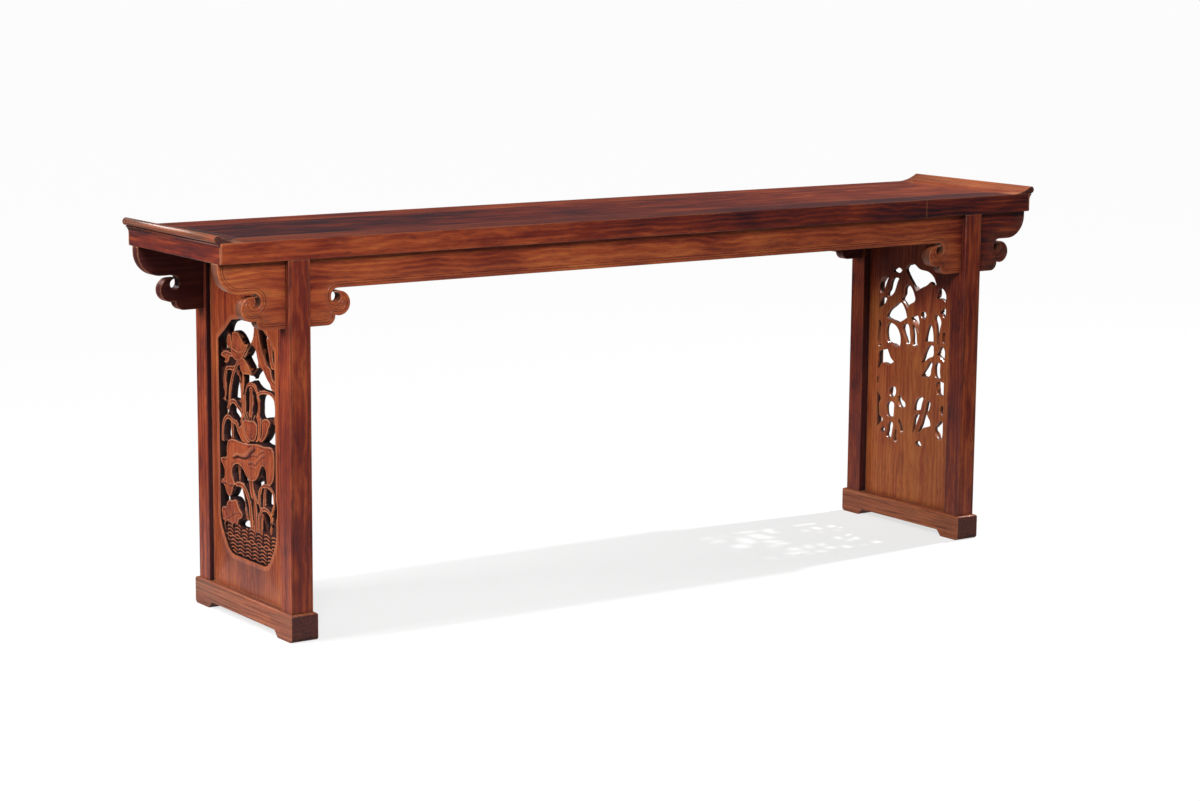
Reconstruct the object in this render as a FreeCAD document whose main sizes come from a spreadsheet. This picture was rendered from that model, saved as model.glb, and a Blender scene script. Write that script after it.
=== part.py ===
"""Recessed-leg altar table with everted end flanges, in millimetres.

The origin is on the floor under the middle of the table. X runs along the length, Y from the
front (negative) to the back, and Z is up. Each wooden piece is a body of its own, shaped with
the joints that hold it: mitred corner tenons and a floating panel in the top, dovetailed battens
below the panel, legs slotted to clasp a long apron board, and openwork boards tongued into the
legs of each end, which stand on cut-out runner feet.
"""
import FreeCAD, Part
import math
import os
import Sketcher
from types import SimpleNamespace

SIZES = {
    # Top frame
    "top_half_length": 1125.0,      # middle of the table to the end fascia
    "top_half_depth": 217.0,        # middle of the table to the front fascia
    "top_height": 860.0,            # floor to the flat top surface
    "top_thick": 44.0,              # height of the fascia
    "rail_wide": 85.0,              # width of the mitred frame members
    "rail_arris": 2.5,              # rounding of the lower edge of the fascia
    "corner_tenon_wide": 30.0,
    "corner_tenon_thick": 14.0,
    "corner_tenon_inset": 13.0,     # from the inner edge of the rail to the tenon
    "corner_tenon_cover": 17.0,     # wood left between the tenon and the end fascia
    # Everted flange on each end member
    "flange_run": 60.0,             # from the start of the upward curve to the crest
    "flange_rise": 17.0,            # crest above the top surface
    "crest_out": 3.5,               # crest beyond the end fascia
    "nose_out": 14.0,               # outermost point of the rolled nose beyond the fascia
    "nose_up": 8.5,                 # outermost point above the top surface
    "nose_heel_out": 9.5,           # lowest point of the nose beyond the fascia
    "nose_heel_up": 1.5,
    "quirk_out": 4.0,               # bottom of the narrow groove under the nose
    "flare_out": 7.5,               # the fascia flares out to here below the groove
    "flare_down": 1.5,              # tip of the flare below the top surface
    "flare_tall": 16.0,             # the flare starts this far below the top surface
    # Floating panel and its battens
    "panel_thick": 16.0,
    "panel_tongue": 8.0,
    "panel_tongue_thick": 6.0,
    "panel_lip": 7.0,               # top surface to the upper side of the tongue
    "panel_play": 0.8,              # room for the panel to swell
    "batten_wide": 40.0,
    "dovetail_neck": 20.0,
    "dovetail_head": 24.0,
    "dovetail_tall": 5.0,
    "batten_tenon_wide": 24.0,
    "batten_tenon_thick": 12.0,
    "batten_tenon_long": 15.0,
    # Legs
    "leg_inset": 183.0,             # end fascia to the middle of a leg
    "leg_wide": 52.0,
    "leg_deep": 50.0,
    "leg_setback": 1.5,             # leg face behind the fascia
    "leg_arris": 2.0,
    "leg_tenon_wide": 36.0,
    "leg_tenon_tall": 22.0,
    "front_tenon_thick": 8.0,       # tenon on the outer cheek of the leg
    "inner_tenon_thick": 5.0,       # tenon on the inner cheek
    "foot_tenon_wide": 30.0,
    "foot_tenon_deep": 28.0,
    "foot_tenon_tall": 36.0,
    "leg_bead": 5.0,                # edge of the leg to its bead line
    "bead_line_wide": 1.6,
    "bead_line_deep": 0.8,
    # Apron boards with their spandrels
    "apron_recess": 14.5,           # apron face behind the leg face
    "apron_thick": 26.0,
    "apron_tall": 66.0,             # underside of the top to the underside of the apron
    "apron_end_gap": 0.6,           # apron end behind the end fascia
    "apron_sweep": 54.0,            # radius of the rising curve at each end
    "spandrel_drop": 78.5,          # below the underside of the apron
    "lobe_radius": 26.3,
    "lobe_reach": 129.5,            # middle of the leg to the edge of the lobe
    "throat": 6.5,                  # slit between the lobe and the apron
    "eye_radius": 11.5,
    "eye_back": 8.2,                # eye of the scroll, from the middle of the lobe to the leg
    "hook_thick": 1.8,              # wood left above the eye
    "hook_long": 13.2,              # tip of the hook from the middle of the lobe
    "neck_round": 17.0,             # rounding between the apron and the neck of the scroll
    "toe_radius": 19.5,
    "toe_back": 9.7,                # step between toe and lobe, from the middle of the lobe
    # Openwork boards of the ends
    "board_thick": 20.0,
    "board_setback": 11.0,          # board face behind the outer face of the leg
    "board_tongue": 6.0,
    "board_tongue_thick": 8.0,
    "field_deep": 3.0,              # carved field below the face of the board
    "border_wide": 12.0,
    "border_proud": 1.2,
    "board_stile": 35.5,            # plain wood between the leg and the opening
    # Runner feet
    "foot_tall": 60.0,
    "foot_wide": 64.0,
    "foot_beyond": 8.0,             # end of the foot beyond the edge of the top
    "foot_pad": 64.0,               # length that rests on the floor at each end
    "foot_cut_tall": 15.0,
    "foot_cut_slope": 14.0,
    "foot_cut_round": 6.0,
    "foot_end_round": 9.0,
    "foot_arris": 5.0,
    # Room in the joints
    "fit": 0.2,
}

# The carver's drawing of the openwork board is laid out on squares. Half the opening is this
# many squares wide, and the board is this many squares tall between foot and top.
HALF_OPENING_SQUARES = 13
BOARD_SQUARES = 75.6

# Edge of the carved field, in squares: across, up, and the rounding of the corner.
OPENING_SHARES = [
    (-12.95, 14.0, 6.0), (-8.6, 7.7, 5.0), (9.2, 7.7, 4.0), (12.95, 14.0, 6.0),
    (12.95, 55.0, 1.2), (10.4, 57.8, 1.5), (6.8, 59.9, 1.2), (2.4, 60.6, 0.8),
    (-0.4, 61.8, 0.4), (-3.2, 60.4, 0.8), (-6.6, 59.9, 1.2), (-9.4, 57.6, 1.2),
    (-12.95, 55.2, 1.0),
]

# Pierced spaces between the lotus stems, leaves and flowers of the right board, in squares across
# and up as seen from outside.
RIGHT_PIERCED_SHARES = [
    # Above and beside the bloom at the upper left
    [(-9.0, 56.9), (-8.0, 58.6), (-6.2, 59.7), (-2.5, 60.2), (-0.4, 61.2), (2.0, 60.6), (2.9, 59.5),
     (1.8, 58.0), (0.2, 56.3), (-1.5, 54.4), (-3.5, 55.5), (-5.5, 56.4), (-6.8, 57.4), (-7.4, 56.7)],
    [(-12.8, 54.2), (-12.3, 55.4), (-11.3, 56.1), (-10.2, 56.1), (-9.5, 54.8), (-9.1, 53.2),
     (-10.4, 53.6), (-11.6, 53.4), (-12.5, 52.8)],
    [(-12.8, 51.2), (-11.7, 51.1), (-10.7, 50.0), (-11.3, 49.6), (-11.9, 48.9), (-12.8, 48.8)],
    [(-5.6, 48.8), (-5.0, 49.5), (-4.0, 49.4), (-3.2, 48.9), (-3.6, 48.0), (-4.8, 47.7)],
    # Between the long pointed leaves at the upper right
    [(4.1, 59.2), (5.0, 59.7), (6.6, 59.5), (7.8, 58.7), (6.2, 58.3), (4.7, 58.6)],
    [(5.2, 57.0), (6.6, 57.1), (8.0, 56.4), (8.6, 55.2), (9.0, 53.7), (9.8, 52.4), (9.4, 51.6),
     (8.2, 52.2), (7.1, 53.1), (6.4, 54.4), (5.8, 56.0)],
    [(9.7, 51.3), (10.8, 51.7), (12.0, 51.1), (12.8, 49.6), (12.8, 48.5), (12.0, 48.9),
     (11.0, 49.5), (10.3, 50.2)],
    [(9.3, 56.8), (10.6, 57.0), (12.0, 56.2), (12.8, 54.9), (12.8, 53.2), (12.2, 52.4),
     (11.2, 53.0), (10.6, 54.0), (10.0, 55.4)],
    [(-1.1, 52.1), (-0.7, 53.6), (0.2, 55.0), (1.4, 55.8), (2.4, 55.6), (3.0, 54.5), (3.2, 53.0),
     (4.1, 51.8), (3.0, 51.0), (1.8, 49.7), (1.0, 50.7), (-0.2, 51.5)],
    [(1.8, 47.3), (2.3, 48.7), (3.1, 50.0), (4.1, 50.9), (5.4, 50.6), (6.8, 49.6), (8.2, 48.7),
     (9.2, 47.8), (9.8, 46.8), (8.8, 46.2), (7.0, 45.9), (5.0, 45.7), (3.4, 46.4)],
    # Inside the ribbon leaves
    [(-11.2, 47.5), (-10.7, 48.7), (-9.8, 49.3), (-8.8, 49.3), (-8.4, 48.3), (-9.0, 46.5),
     (-9.4, 44.0), (-9.7, 41.8), (-10.4, 41.8), (-10.5, 44.0), (-10.8, 46.0)],
    [(-12.7, 45.2), (-11.9, 45.0), (-11.6, 43.5), (-11.9, 42.4), (-12.7, 42.3)],
    [(-8.5, 42.2), (-8.4, 44.0), (-8.0, 45.7), (-7.3, 46.8), (-6.6, 46.4), (-5.8, 44.8),
     (-5.3, 43.0), (-5.2, 42.0), (-6.6, 42.1)],
    [(-2.9, 47.0), (-2.4, 48.3), (-1.0, 48.0), (0.4, 47.4), (-0.6, 46.7), (-1.4, 45.8),
     (-2.0, 44.8), (-2.8, 43.8), (-2.9, 45.5)],
    [(-1.0, 45.6), (-0.3, 46.0), (0.0, 45.0), (-0.3, 43.0), (-0.5, 40.8), (-1.4, 40.2),
     (-2.6, 40.3), (-2.2, 41.8), (-2.0, 43.6), (-1.6, 44.6)],
    [(0.3, 41.2), (0.5, 43.2), (0.9, 45.1), (1.6, 45.8), (2.8, 45.4), (3.6, 44.8), (3.3, 43.4),
     (2.6, 42.2), (1.8, 40.8), (0.9, 40.2)],
    [(4.1, 41.6), (4.5, 43.0), (5.6, 44.4), (7.0, 45.1), (8.4, 45.2), (9.5, 44.4), (9.9, 42.8),
     (9.6, 41.0), (8.8, 40.0), (7.0, 39.8), (5.2, 39.2), (4.3, 39.8)],
    [(11.7, 44.8), (12.4, 45.5), (12.8, 45.4), (12.8, 42.0), (12.8, 38.8), (12.2, 38.4),
     (11.6, 39.2), (11.8, 42.0)],
    # Beside the open flower and round the scroll on the left
    [(-12.8, 40.6), (-12.0, 41.5), (-11.3, 41.5), (-10.6, 40.4), (-9.8, 39.2), (-10.8, 38.9),
     (-11.8, 38.2), (-12.6, 37.6)],
    [(-8.6, 41.2), (-7.4, 41.4), (-6.2, 40.6), (-5.2, 39.0), (-4.5, 37.2), (-4.0, 36.4),
     (-5.2, 36.8), (-6.4, 37.7), (-7.6, 38.3), (-8.5, 38.7)],
    [(-11.3, 37.1), (-10.2, 37.3), (-9.2, 36.6), (-9.0, 34.8), (-9.4, 33.5), (-10.6, 33.2),
     (-11.5, 33.5), (-11.2, 35.0)],
    [(-12.8, 32.4), (-11.5, 32.6), (-10.3, 32.4), (-9.8, 31.8), (-10.0, 30.2), (-10.5, 29.2),
     (-11.6, 29.0), (-12.8, 29.0)],
    [(-8.2, 36.8), (-7.4, 37.2), (-6.6, 36.4), (-5.8, 35.2), (-4.8, 34.0), (-4.2, 33.1),
     (-5.2, 32.9), (-6.4, 33.3), (-7.6, 33.7), (-7.9, 35.2)],
    [(6.5, 35.3), (7.8, 36.3), (8.6, 37.6), (9.2, 38.4), (10.4, 38.0), (11.6, 37.7), (12.7, 37.0),
     (12.8, 35.0), (12.8, 32.8), (12.1, 33.2), (11.2, 34.4), (9.8, 34.7), (8.4, 34.4), (7.4, 34.8)],
    # Under the great leaf and between the stems
    [(-12.8, 26.5), (-12.0, 26.4), (-11.6, 25.2), (-12.1, 24.2), (-12.8, 24.0)],
    [(-12.8, 22.4), (-11.8, 22.6), (-10.9, 21.5), (-9.8, 20.6), (-10.1, 19.2), (-11.2, 18.0),
     (-12.4, 17.6), (-12.8, 19.0)],
    [(-7.9, 26.8), (-7.4, 27.2), (-6.6, 26.5), (-6.0, 24.5), (-5.2, 22.5), (-4.4, 20.2),
     (-3.3, 18.3), (-4.5, 19.0), (-5.6, 19.9), (-7.2, 20.4), (-8.2, 20.8), (-7.9, 22.0),
     (-6.9, 23.4), (-7.6, 25.0)],
    [(-5.3, 27.4), (-4.6, 27.8), (-3.4, 27.2), (-2.4, 26.5), (-1.7, 25.2), (-1.6, 23.8),
     (-2.8, 24.0), (-4.2, 24.3), (-4.7, 25.8)],
    [(-4.0, 23.0), (-3.1, 23.2), (-2.0, 22.5), (-1.5, 20.5), (-1.3, 17.8), (-2.0, 18.5),
     (-2.7, 20.2), (-3.4, 21.6)],
    [(-5.0, 15.2), (-4.3, 16.1), (-3.3, 16.2), (-2.4, 15.5), (-3.1, 14.9), (-4.2, 14.9)],
    [(1.6, 24.4), (1.8, 25.4), (2.9, 26.0), (3.7, 26.9), (4.7, 26.6), (4.6, 25.2), (3.8, 24.5),
     (3.0, 23.8), (2.1, 24.1)],
    [(5.3, 27.8), (5.7, 28.8), (6.6, 28.9), (7.7, 28.4), (8.1, 27.2), (7.6, 26.3), (6.4, 26.1),
     (5.6, 26.8)],
    [(6.1, 24.6), (7.2, 24.9), (8.3, 24.6), (9.0, 23.8), (9.1, 22.2), (8.6, 21.0), (7.2, 20.9),
     (6.1, 21.1), (6.0, 22.8)],
    [(2.2, 17.2), (2.4, 18.6), (3.1, 20.2), (4.1, 21.2), (4.4, 20.2), (3.8, 18.8), (3.3, 17.6)],
    [(6.2, 19.0), (6.7, 19.7), (7.6, 19.6), (8.4, 18.4), (8.5, 17.0), (8.8, 15.9), (8.2, 15.3),
     (7.0, 15.2), (6.7, 16.2), (6.4, 17.8)],
    [(9.4, 17.4), (9.9, 18.0), (10.7, 17.6), (11.1, 16.9), (10.4, 16.3), (9.7, 16.6)],
    [(4.4, 14.8), (4.8, 16.2), (4.8, 17.8), (5.4, 18.0), (5.7, 16.2), (5.7, 14.8), (5.0, 14.5)],
    [(11.2, 25.2), (12.0, 26.2), (12.8, 27.0), (12.8, 24.0), (12.8, 20.2), (12.7, 17.8),
     (11.9, 18.2), (11.2, 19.0), (10.4, 19.4), (10.5, 20.3), (11.4, 20.6), (11.7, 22.4),
     (11.8, 23.8)],
    [(12.2, 30.2), (12.6, 30.8), (12.9, 30.6), (12.9, 28.8), (12.6, 28.9)],
]

# Pierced spaces of the left board, in the same squares.
LEFT_PIERCED_SHARES = [
    # Round the bloom at the upper left
    [(-9.2, 57.0), (-8.5, 58.3), (-7.6, 59.1), (-6.2, 59.6), (-3.0, 60.2), (-0.4, 61.2), (2.0, 60.7),
     (3.3, 59.7), (2.9, 58.5), (2.4, 57.0), (1.2, 56.0), (0.0, 55.4), (-1.4, 55.1), (-2.5, 56.1),
     (-3.8, 57.0), (-5.5, 57.5), (-6.8, 57.4), (-7.8, 56.9)],
    [(-12.8, 54.0), (-12.4, 55.5), (-11.2, 56.2), (-10.0, 56.1), (-9.4, 54.8), (-9.1, 53.4),
     (-10.4, 53.3), (-11.6, 52.9), (-12.6, 52.8)],
    [(-12.8, 51.2), (-11.6, 51.1), (-10.7, 50.0), (-11.3, 49.3), (-11.9, 48.9), (-12.8, 48.8)],
    [(-4.7, 49.0), (-4.2, 50.2), (-3.4, 50.0), (-3.1, 48.6), (-3.2, 46.8), (-3.4, 44.8), (-3.7, 46.0),
     (-4.1, 47.6)],
    # Between the long pointed leaves at the upper right
    [(5.7, 59.2), (7.0, 59.4), (8.1, 58.5), (8.8, 57.0), (9.5, 55.5), (10.0, 54.0), (10.2, 52.6),
     (9.9, 51.8), (9.0, 51.9), (8.2, 52.7), (7.6, 54.0), (6.9, 55.3), (6.3, 56.7), (5.9, 58.0)],
    [(11.2, 56.7), (11.9, 56.2), (12.6, 54.8), (12.9, 53.2), (12.8, 51.9), (12.1, 52.4), (11.7, 54.0),
     (11.3, 55.4)],
    [(11.3, 51.2), (12.0, 51.1), (12.8, 50.5), (12.8, 49.1), (12.0, 49.2), (11.4, 50.0)],
    [(-1.1, 52.3), (0.0, 53.1), (1.0, 54.3), (1.9, 55.3), (3.0, 55.2), (4.0, 54.4), (4.6, 53.0),
     (5.0, 51.4), (4.3, 50.9), (3.3, 50.5), (2.4, 49.7), (1.8, 49.7), (1.0, 50.6), (0.0, 51.4)],
    [(1.8, 47.6), (2.5, 48.7), (4.0, 49.9), (5.7, 50.9), (7.1, 50.6), (8.2, 49.6), (9.2, 48.6),
     (10.4, 47.8), (10.9, 46.9), (10.0, 46.2), (8.0, 46.1), (5.0, 46.2), (3.2, 46.8)],
    [(-2.2, 48.5), (-0.8, 48.4), (0.8, 48.6), (2.0, 48.4), (2.0, 47.6), (0.8, 47.2), (-0.6, 46.6),
     (-1.5, 45.5), (-2.1, 44.0), (-2.3, 46.0)],
    # Inside the ribbon leaves
    [(-10.8, 41.8), (-10.7, 44.5), (-10.4, 46.8), (-9.6, 48.1), (-8.5, 48.4), (-8.1, 47.7),
     (-8.6, 46.0), (-9.1, 44.0), (-9.3, 41.8)],
    [(-7.9, 42.5), (-7.5, 44.5), (-6.6, 46.4), (-5.6, 48.0), (-4.8, 47.7), (-4.3, 46.0), (-4.0, 44.2),
     (-4.0, 42.7), (-5.0, 42.5), (-6.4, 42.5)],
    [(-12.8, 45.2), (-12.0, 44.8), (-11.6, 43.5), (-11.8, 42.0), (-12.8, 41.8)],
    [(-1.3, 40.4), (-1.3, 42.5), (-1.0, 44.2), (-0.2, 45.3), (0.4, 45.1), (0.4, 43.5), (0.3, 41.8),
     (0.2, 40.4)],
    [(2.0, 40.4), (2.0, 43.0), (2.0, 44.8), (2.8, 45.4), (3.7, 44.6), (4.1, 43.0), (4.0, 41.5),
     (3.5, 40.4)],
    [(4.7, 41.8), (4.8, 43.4), (5.4, 44.6), (6.6, 45.1), (8.5, 45.3), (10.0, 45.2), (11.3, 44.6),
     (11.9, 43.2), (11.9, 41.6), (11.3, 40.7), (9.8, 40.5), (8.2, 40.4), (6.6, 40.0), (5.3, 39.9),
     (4.7, 40.6)],
    [(-12.8, 41.0), (-12.0, 41.5), (-11.0, 41.3), (-10.1, 40.2), (-9.4, 39.2), (-10.5, 38.8),
     (-11.8, 38.0), (-12.7, 37.0)],
    [(-8.4, 39.2), (-8.2, 40.5), (-7.2, 41.1), (-5.8, 40.8), (-4.8, 40.1), (-3.9, 39.8), (-3.4, 38.9),
     (-3.8, 37.9), (-4.5, 36.9), (-5.6, 37.3), (-6.6, 38.1), (-7.6, 38.7)],
    # Beside the open flower
    [(-11.3, 33.4), (-11.2, 35.2), (-10.7, 36.5), (-9.6, 37.2), (-8.7, 36.8), (-8.4, 35.2),
     (-8.4, 33.8), (-9.2, 33.2), (-10.4, 33.0)],
    [(-6.9, 36.7), (-6.2, 36.6), (-5.2, 35.3), (-4.3, 34.4), (-3.8, 33.8), (-5.0, 33.7), (-6.7, 33.9),
     (-7.0, 35.2)],
    [(6.6, 34.8), (7.8, 35.6), (9.0, 36.9), (9.7, 38.4), (10.5, 39.4), (11.8, 39.2), (12.8, 38.4),
     (12.9, 36.5), (12.8, 34.9), (11.5, 34.6), (9.5, 34.5), (8.0, 34.5)],
    [(12.1, 34.0), (12.8, 34.2), (12.8, 32.1), (12.3, 32.3)],
    [(-12.8, 32.1), (-11.0, 32.3), (-10.1, 31.9), (-10.0, 30.2), (-10.5, 29.1), (-11.8, 28.8),
     (-12.8, 28.6)],
    # Under the great leaf and between the stems
    [(-12.8, 26.5), (-12.0, 26.4), (-11.4, 25.2), (-12.0, 24.2), (-12.8, 24.0)],
    [(-7.1, 26.1), (-6.6, 26.9), (-5.7, 27.1), (-5.2, 26.4), (-5.1, 25.0), (-4.9, 24.1), (-5.6, 24.3),
     (-6.4, 25.0)],
    [(-4.1, 26.8), (-3.2, 27.2), (-2.2, 26.6), (-1.4, 25.8), (-1.1, 25.1), (-1.5, 24.5), (-2.4, 24.2),
     (-3.4, 24.4), (-3.8, 25.5)],
    [(2.6, 25.2), (3.6, 25.6), (4.6, 26.1), (5.4, 26.7), (6.1, 26.2), (6.3, 25.6), (5.4, 25.2),
     (4.6, 24.5), (4.0, 23.8), (3.2, 24.0), (2.7, 24.6)],
    [(5.8, 28.0), (6.4, 28.9), (7.4, 29.0), (8.0, 28.2), (8.0, 27.0), (7.4, 26.5), (6.4, 26.7),
     (5.8, 27.2)],
    [(-12.8, 22.2), (-11.8, 22.3), (-11.0, 21.5), (-10.2, 20.6), (-9.8, 19.7), (-10.5, 18.5),
     (-11.4, 18.0), (-12.6, 17.8)],
    [(-8.3, 20.4), (-7.4, 21.2), (-6.6, 22.3), (-5.4, 23.0), (-4.1, 23.1), (-3.4, 22.1), (-2.8, 20.7),
     (-2.4, 19.2), (-2.7, 18.4), (-3.8, 18.3), (-4.6, 18.9), (-5.3, 19.8), (-6.6, 20.4)],
    [(-1.9, 22.0), (-1.3, 21.1), (-0.8, 19.8), (-0.5, 18.6), (-0.8, 17.9), (-1.3, 18.9), (-1.8, 20.3)],
    [(-5.2, 14.6), (-4.4, 15.3), (-3.2, 15.8), (-2.0, 16.1), (-0.8, 16.3), (0.0, 15.7), (0.2, 15.1),
     (-0.6, 14.8), (-1.8, 14.5), (-3.4, 14.3), (-4.6, 14.3)],
    [(1.1, 22.0), (1.5, 21.4), (1.7, 19.5), (1.8, 17.5), (1.8, 15.7), (1.3, 15.5), (1.3, 17.6),
     (1.1, 20.0)],
    [(3.8, 20.7), (4.5, 20.1), (4.7, 19.4), (4.1, 18.8), (3.8, 17.9), (3.4, 18.5), (3.5, 19.6)],
    [(7.2, 21.3), (7.4, 23.0), (8.0, 24.3), (9.2, 24.6), (10.4, 24.1), (10.8, 23.0), (10.7, 21.7),
     (9.8, 21.2), (8.4, 21.1)],
    [(5.0, 22.9), (5.4, 24.0), (6.1, 24.4), (6.2, 23.0), (6.0, 21.3), (5.3, 21.6)],
    [(6.7, 19.0), (7.5, 19.4), (8.4, 19.2), (9.0, 18.4), (9.2, 17.2), (9.0, 16.3), (8.4, 15.8),
     (7.8, 16.3), (7.2, 17.5)],
    [(6.1, 17.8), (6.5, 16.8), (7.0, 15.7), (6.7, 15.2), (6.0, 15.2), (5.8, 16.5)],
    [(12.2, 24.0), (12.8, 23.8), (12.8, 18.1), (11.8, 17.8), (10.9, 18.3), (10.7, 19.3), (11.3, 20.1),
     (11.9, 21.2)],
    [(9.8, 17.6), (10.5, 17.4), (10.7, 16.8), (10.1, 16.5), (9.6, 16.9)],
]


class Length:
    """A size with its number in millimetres and its formula in the sheet."""

    def __init__(self, number, formula):
        self.number = number
        self.formula = formula

    def __add__(self, other):
        return Length(self.number + other.number, f"({self.formula} + {other.formula})")

    def __sub__(self, other):
        return Length(self.number - other.number, f"({self.formula} - {other.formula})")

    def __neg__(self):
        return Length(-self.number, f"(-{self.formula})")

    def __mul__(self, times):
        return Length(self.number * times, f"({self.formula} * {times})")

    def __truediv__(self, parts):
        return Length(self.number / parts, f"({self.formula} / {parts})")


ZERO = Length(0.0, "0")

doc = FreeCAD.newDocument("altar_table")
sheet = doc.addObject("Spreadsheet::Sheet", "Sizes")
for row, (name, number) in enumerate(SIZES.items(), start=1):
    sheet.set(f"A{row}", name)
    sheet.set(f"B{row}", str(number))
    sheet.setAlias(f"B{row}", name)
doc.recompute()
s = SimpleNamespace(**{name: Length(float(sheet.get(name)), f"Sizes.{name}") for name in SIZES})

# Heights and places that several pieces share
top_under = s.top_height - s.top_thick
panel_under = s.top_height - s.panel_thick
rail_inner = s.top_half_depth - s.rail_wide
end_inner = s.top_half_length - s.rail_wide
leg_centre = s.top_half_length - s.leg_inset
leg_face = s.top_half_depth - s.leg_setback
leg_inside = leg_face - s.leg_deep
apron_face = leg_face - s.apron_recess
apron_back = apron_face - s.apron_thick
apron_under = top_under - s.apron_tall
lobe_middle = s.lobe_reach - s.lobe_radius
toe_reach = lobe_middle - s.toe_back
tongue_top = s.top_height - s.panel_lip
tongue_under = tongue_top - s.panel_tongue_thick
corner_tenon_near = rail_inner + s.corner_tenon_inset
corner_tenon_far = corner_tenon_near + s.corner_tenon_wide
corner_tenon_end = s.top_half_length - s.corner_tenon_cover
corner_tenon_under = top_under + s.corner_tenon_thick
corner_tenon_top = corner_tenon_under + s.corner_tenon_thick
batten_tenon_under = top_under + (s.top_thick - s.panel_thick - s.batten_tenon_thick) / 2
batten_tenon_top = batten_tenon_under + s.batten_tenon_thick
board_outer = leg_centre + s.leg_wide / 2 - s.board_setback
board_inner = board_outer - s.board_thick
board_middle = (board_outer + board_inner) / 2
cheek_middle = leg_face - s.apron_recess / 2
inner_cheek_middle = (apron_back + leg_inside) / 2
board_end_reach = rail_inner - s.board_tongue
opening_half_wide = leg_inside - s.board_stile
foot_half_length = s.top_half_depth + s.foot_beyond
batten_places = {
    "batten_far_left": -board_middle,
    "batten_left": -board_middle / 2,
    "batten_middle": ZERO,
    "batten_right": board_middle / 2,
    "batten_far_right": board_middle,
}

sub_parts = []


def point(x, y):
    """A point of a sketch, from numbers."""
    return FreeCAD.Vector(x, y, 0)


def new_body(label):
    """A wooden piece of its own."""
    body = doc.addObject("PartDesign::Body", label)
    body.Label = label
    sub_parts.append(body)
    return body


def new_sketch(body, name, role, offset=ZERO):
    """An empty sketch on one of the body's own planes, moved along the plane's normal."""
    sketch = body.newObject("Sketcher::SketchObject", name)
    plane = [item for item in body.Origin.OriginFeatures if item.Role == role][0]
    sketch.AttachmentSupport = (plane, [""])
    sketch.MapMode = "FlatFace"
    sketch.setExpression("AttachmentOffset.Base.z", offset.formula)
    return sketch


def polygon(body, name, role, corners, offset=ZERO):
    """A closed outline of straight lines, each corner tied to the sheet."""
    sketch = new_sketch(body, name, role, offset)
    count = len(corners)
    for index, (x, y) in enumerate(corners):
        after_x, after_y = corners[(index + 1) % count]
        line = Part.LineSegment(point(x.number, y.number), point(after_x.number, after_y.number))
        sketch.addGeometry(line)
    for index in range(count):
        sketch.addConstraint(Sketcher.Constraint("Coincident", index, 2, (index + 1) % count, 1))
    for index, (x, y) in enumerate(corners):
        for kind, size in (("DistanceX", x), ("DistanceY", y)):
            place = sketch.addConstraint(Sketcher.Constraint(kind, -1, 1, index, 1, size.number))
            sketch.setExpression(f"Constraints[{place}]", size.formula)
    return sketch


def rectangle(low_x, high_x, low_y, high_y):
    """The four corners between two limits each way."""
    return [(low_x, low_y), (high_x, low_y), (high_x, high_y), (low_x, high_y)]


def drawn(body, name, role, curves, offset=ZERO):
    """A sketch of curves that were worked out from the same sizes."""
    sketch = new_sketch(body, name, role, offset)
    sketch.addGeometry(curves)
    return sketch


def pad(body, sketch, length, both_ways=False):
    """Wood along the normal of the sketch, or half of it each way."""
    feature = body.newObject("PartDesign::Pad", f"{sketch.Label}_pad")
    feature.Profile = sketch
    feature.Midplane = both_ways
    feature.setExpression("Length", length.formula)
    sketch.Visibility = False
    return feature


def pocket(body, sketch, length, both_ways=False, reverse=False):
    """A cut against the normal of the sketch, or half of it each way."""
    feature = body.newObject("PartDesign::Pocket", f"{sketch.Label}_cut")
    feature.Profile = sketch
    feature.Midplane = both_ways
    feature.Reversed = reverse
    feature.setExpression("Length", length.formula)
    return feature


def block(body, name, x, y, z):
    """Wood between two limits in X, in Y and in Z."""
    sketch = polygon(body, name, "XY_Plane", rectangle(x[0], x[1], y[0], y[1]), z[0])
    return pad(body, sketch, z[1] - z[0])


def mortise(body, name, x, y, z):
    """A hollow between two limits in X, in Y and in Z."""
    sketch = polygon(body, name, "XY_Plane", rectangle(x[0], x[1], y[0], y[1]), z[1])
    return pocket(body, sketch, z[1] - z[0])


def about(middle, width):
    """The two limits of a width about its middle."""
    return (middle - width / 2, middle + width / 2)


def widened(limits, room):
    """The limits moved apart by the room left on each side."""
    return (limits[0] - room, limits[1] + room)


def mirrored_limits(limits, side):
    """The limits on the side of the table that has this sign."""
    return limits if side > 0 else (-limits[1], -limits[0])


def arc(centre, start, end, turn):
    """An arc about a centre, from start to end, anticlockwise where turn is 1."""
    radius = math.dist(centre, start)
    first = math.atan2(start[1] - centre[1], start[0] - centre[0])
    last = math.atan2(end[1] - centre[1], end[0] - centre[0])
    sweep = (last - first) % (2 * math.pi) if turn > 0 else -((first - last) % (2 * math.pi))
    half_way = first + sweep / 2
    middle = (centre[0] + radius * math.cos(half_way), centre[1] + radius * math.sin(half_way))
    return Part.Arc(point(*start), point(*middle), point(*end))


def line(start, end):
    """A straight edge between two points."""
    return Part.LineSegment(point(*start), point(*end))


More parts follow.
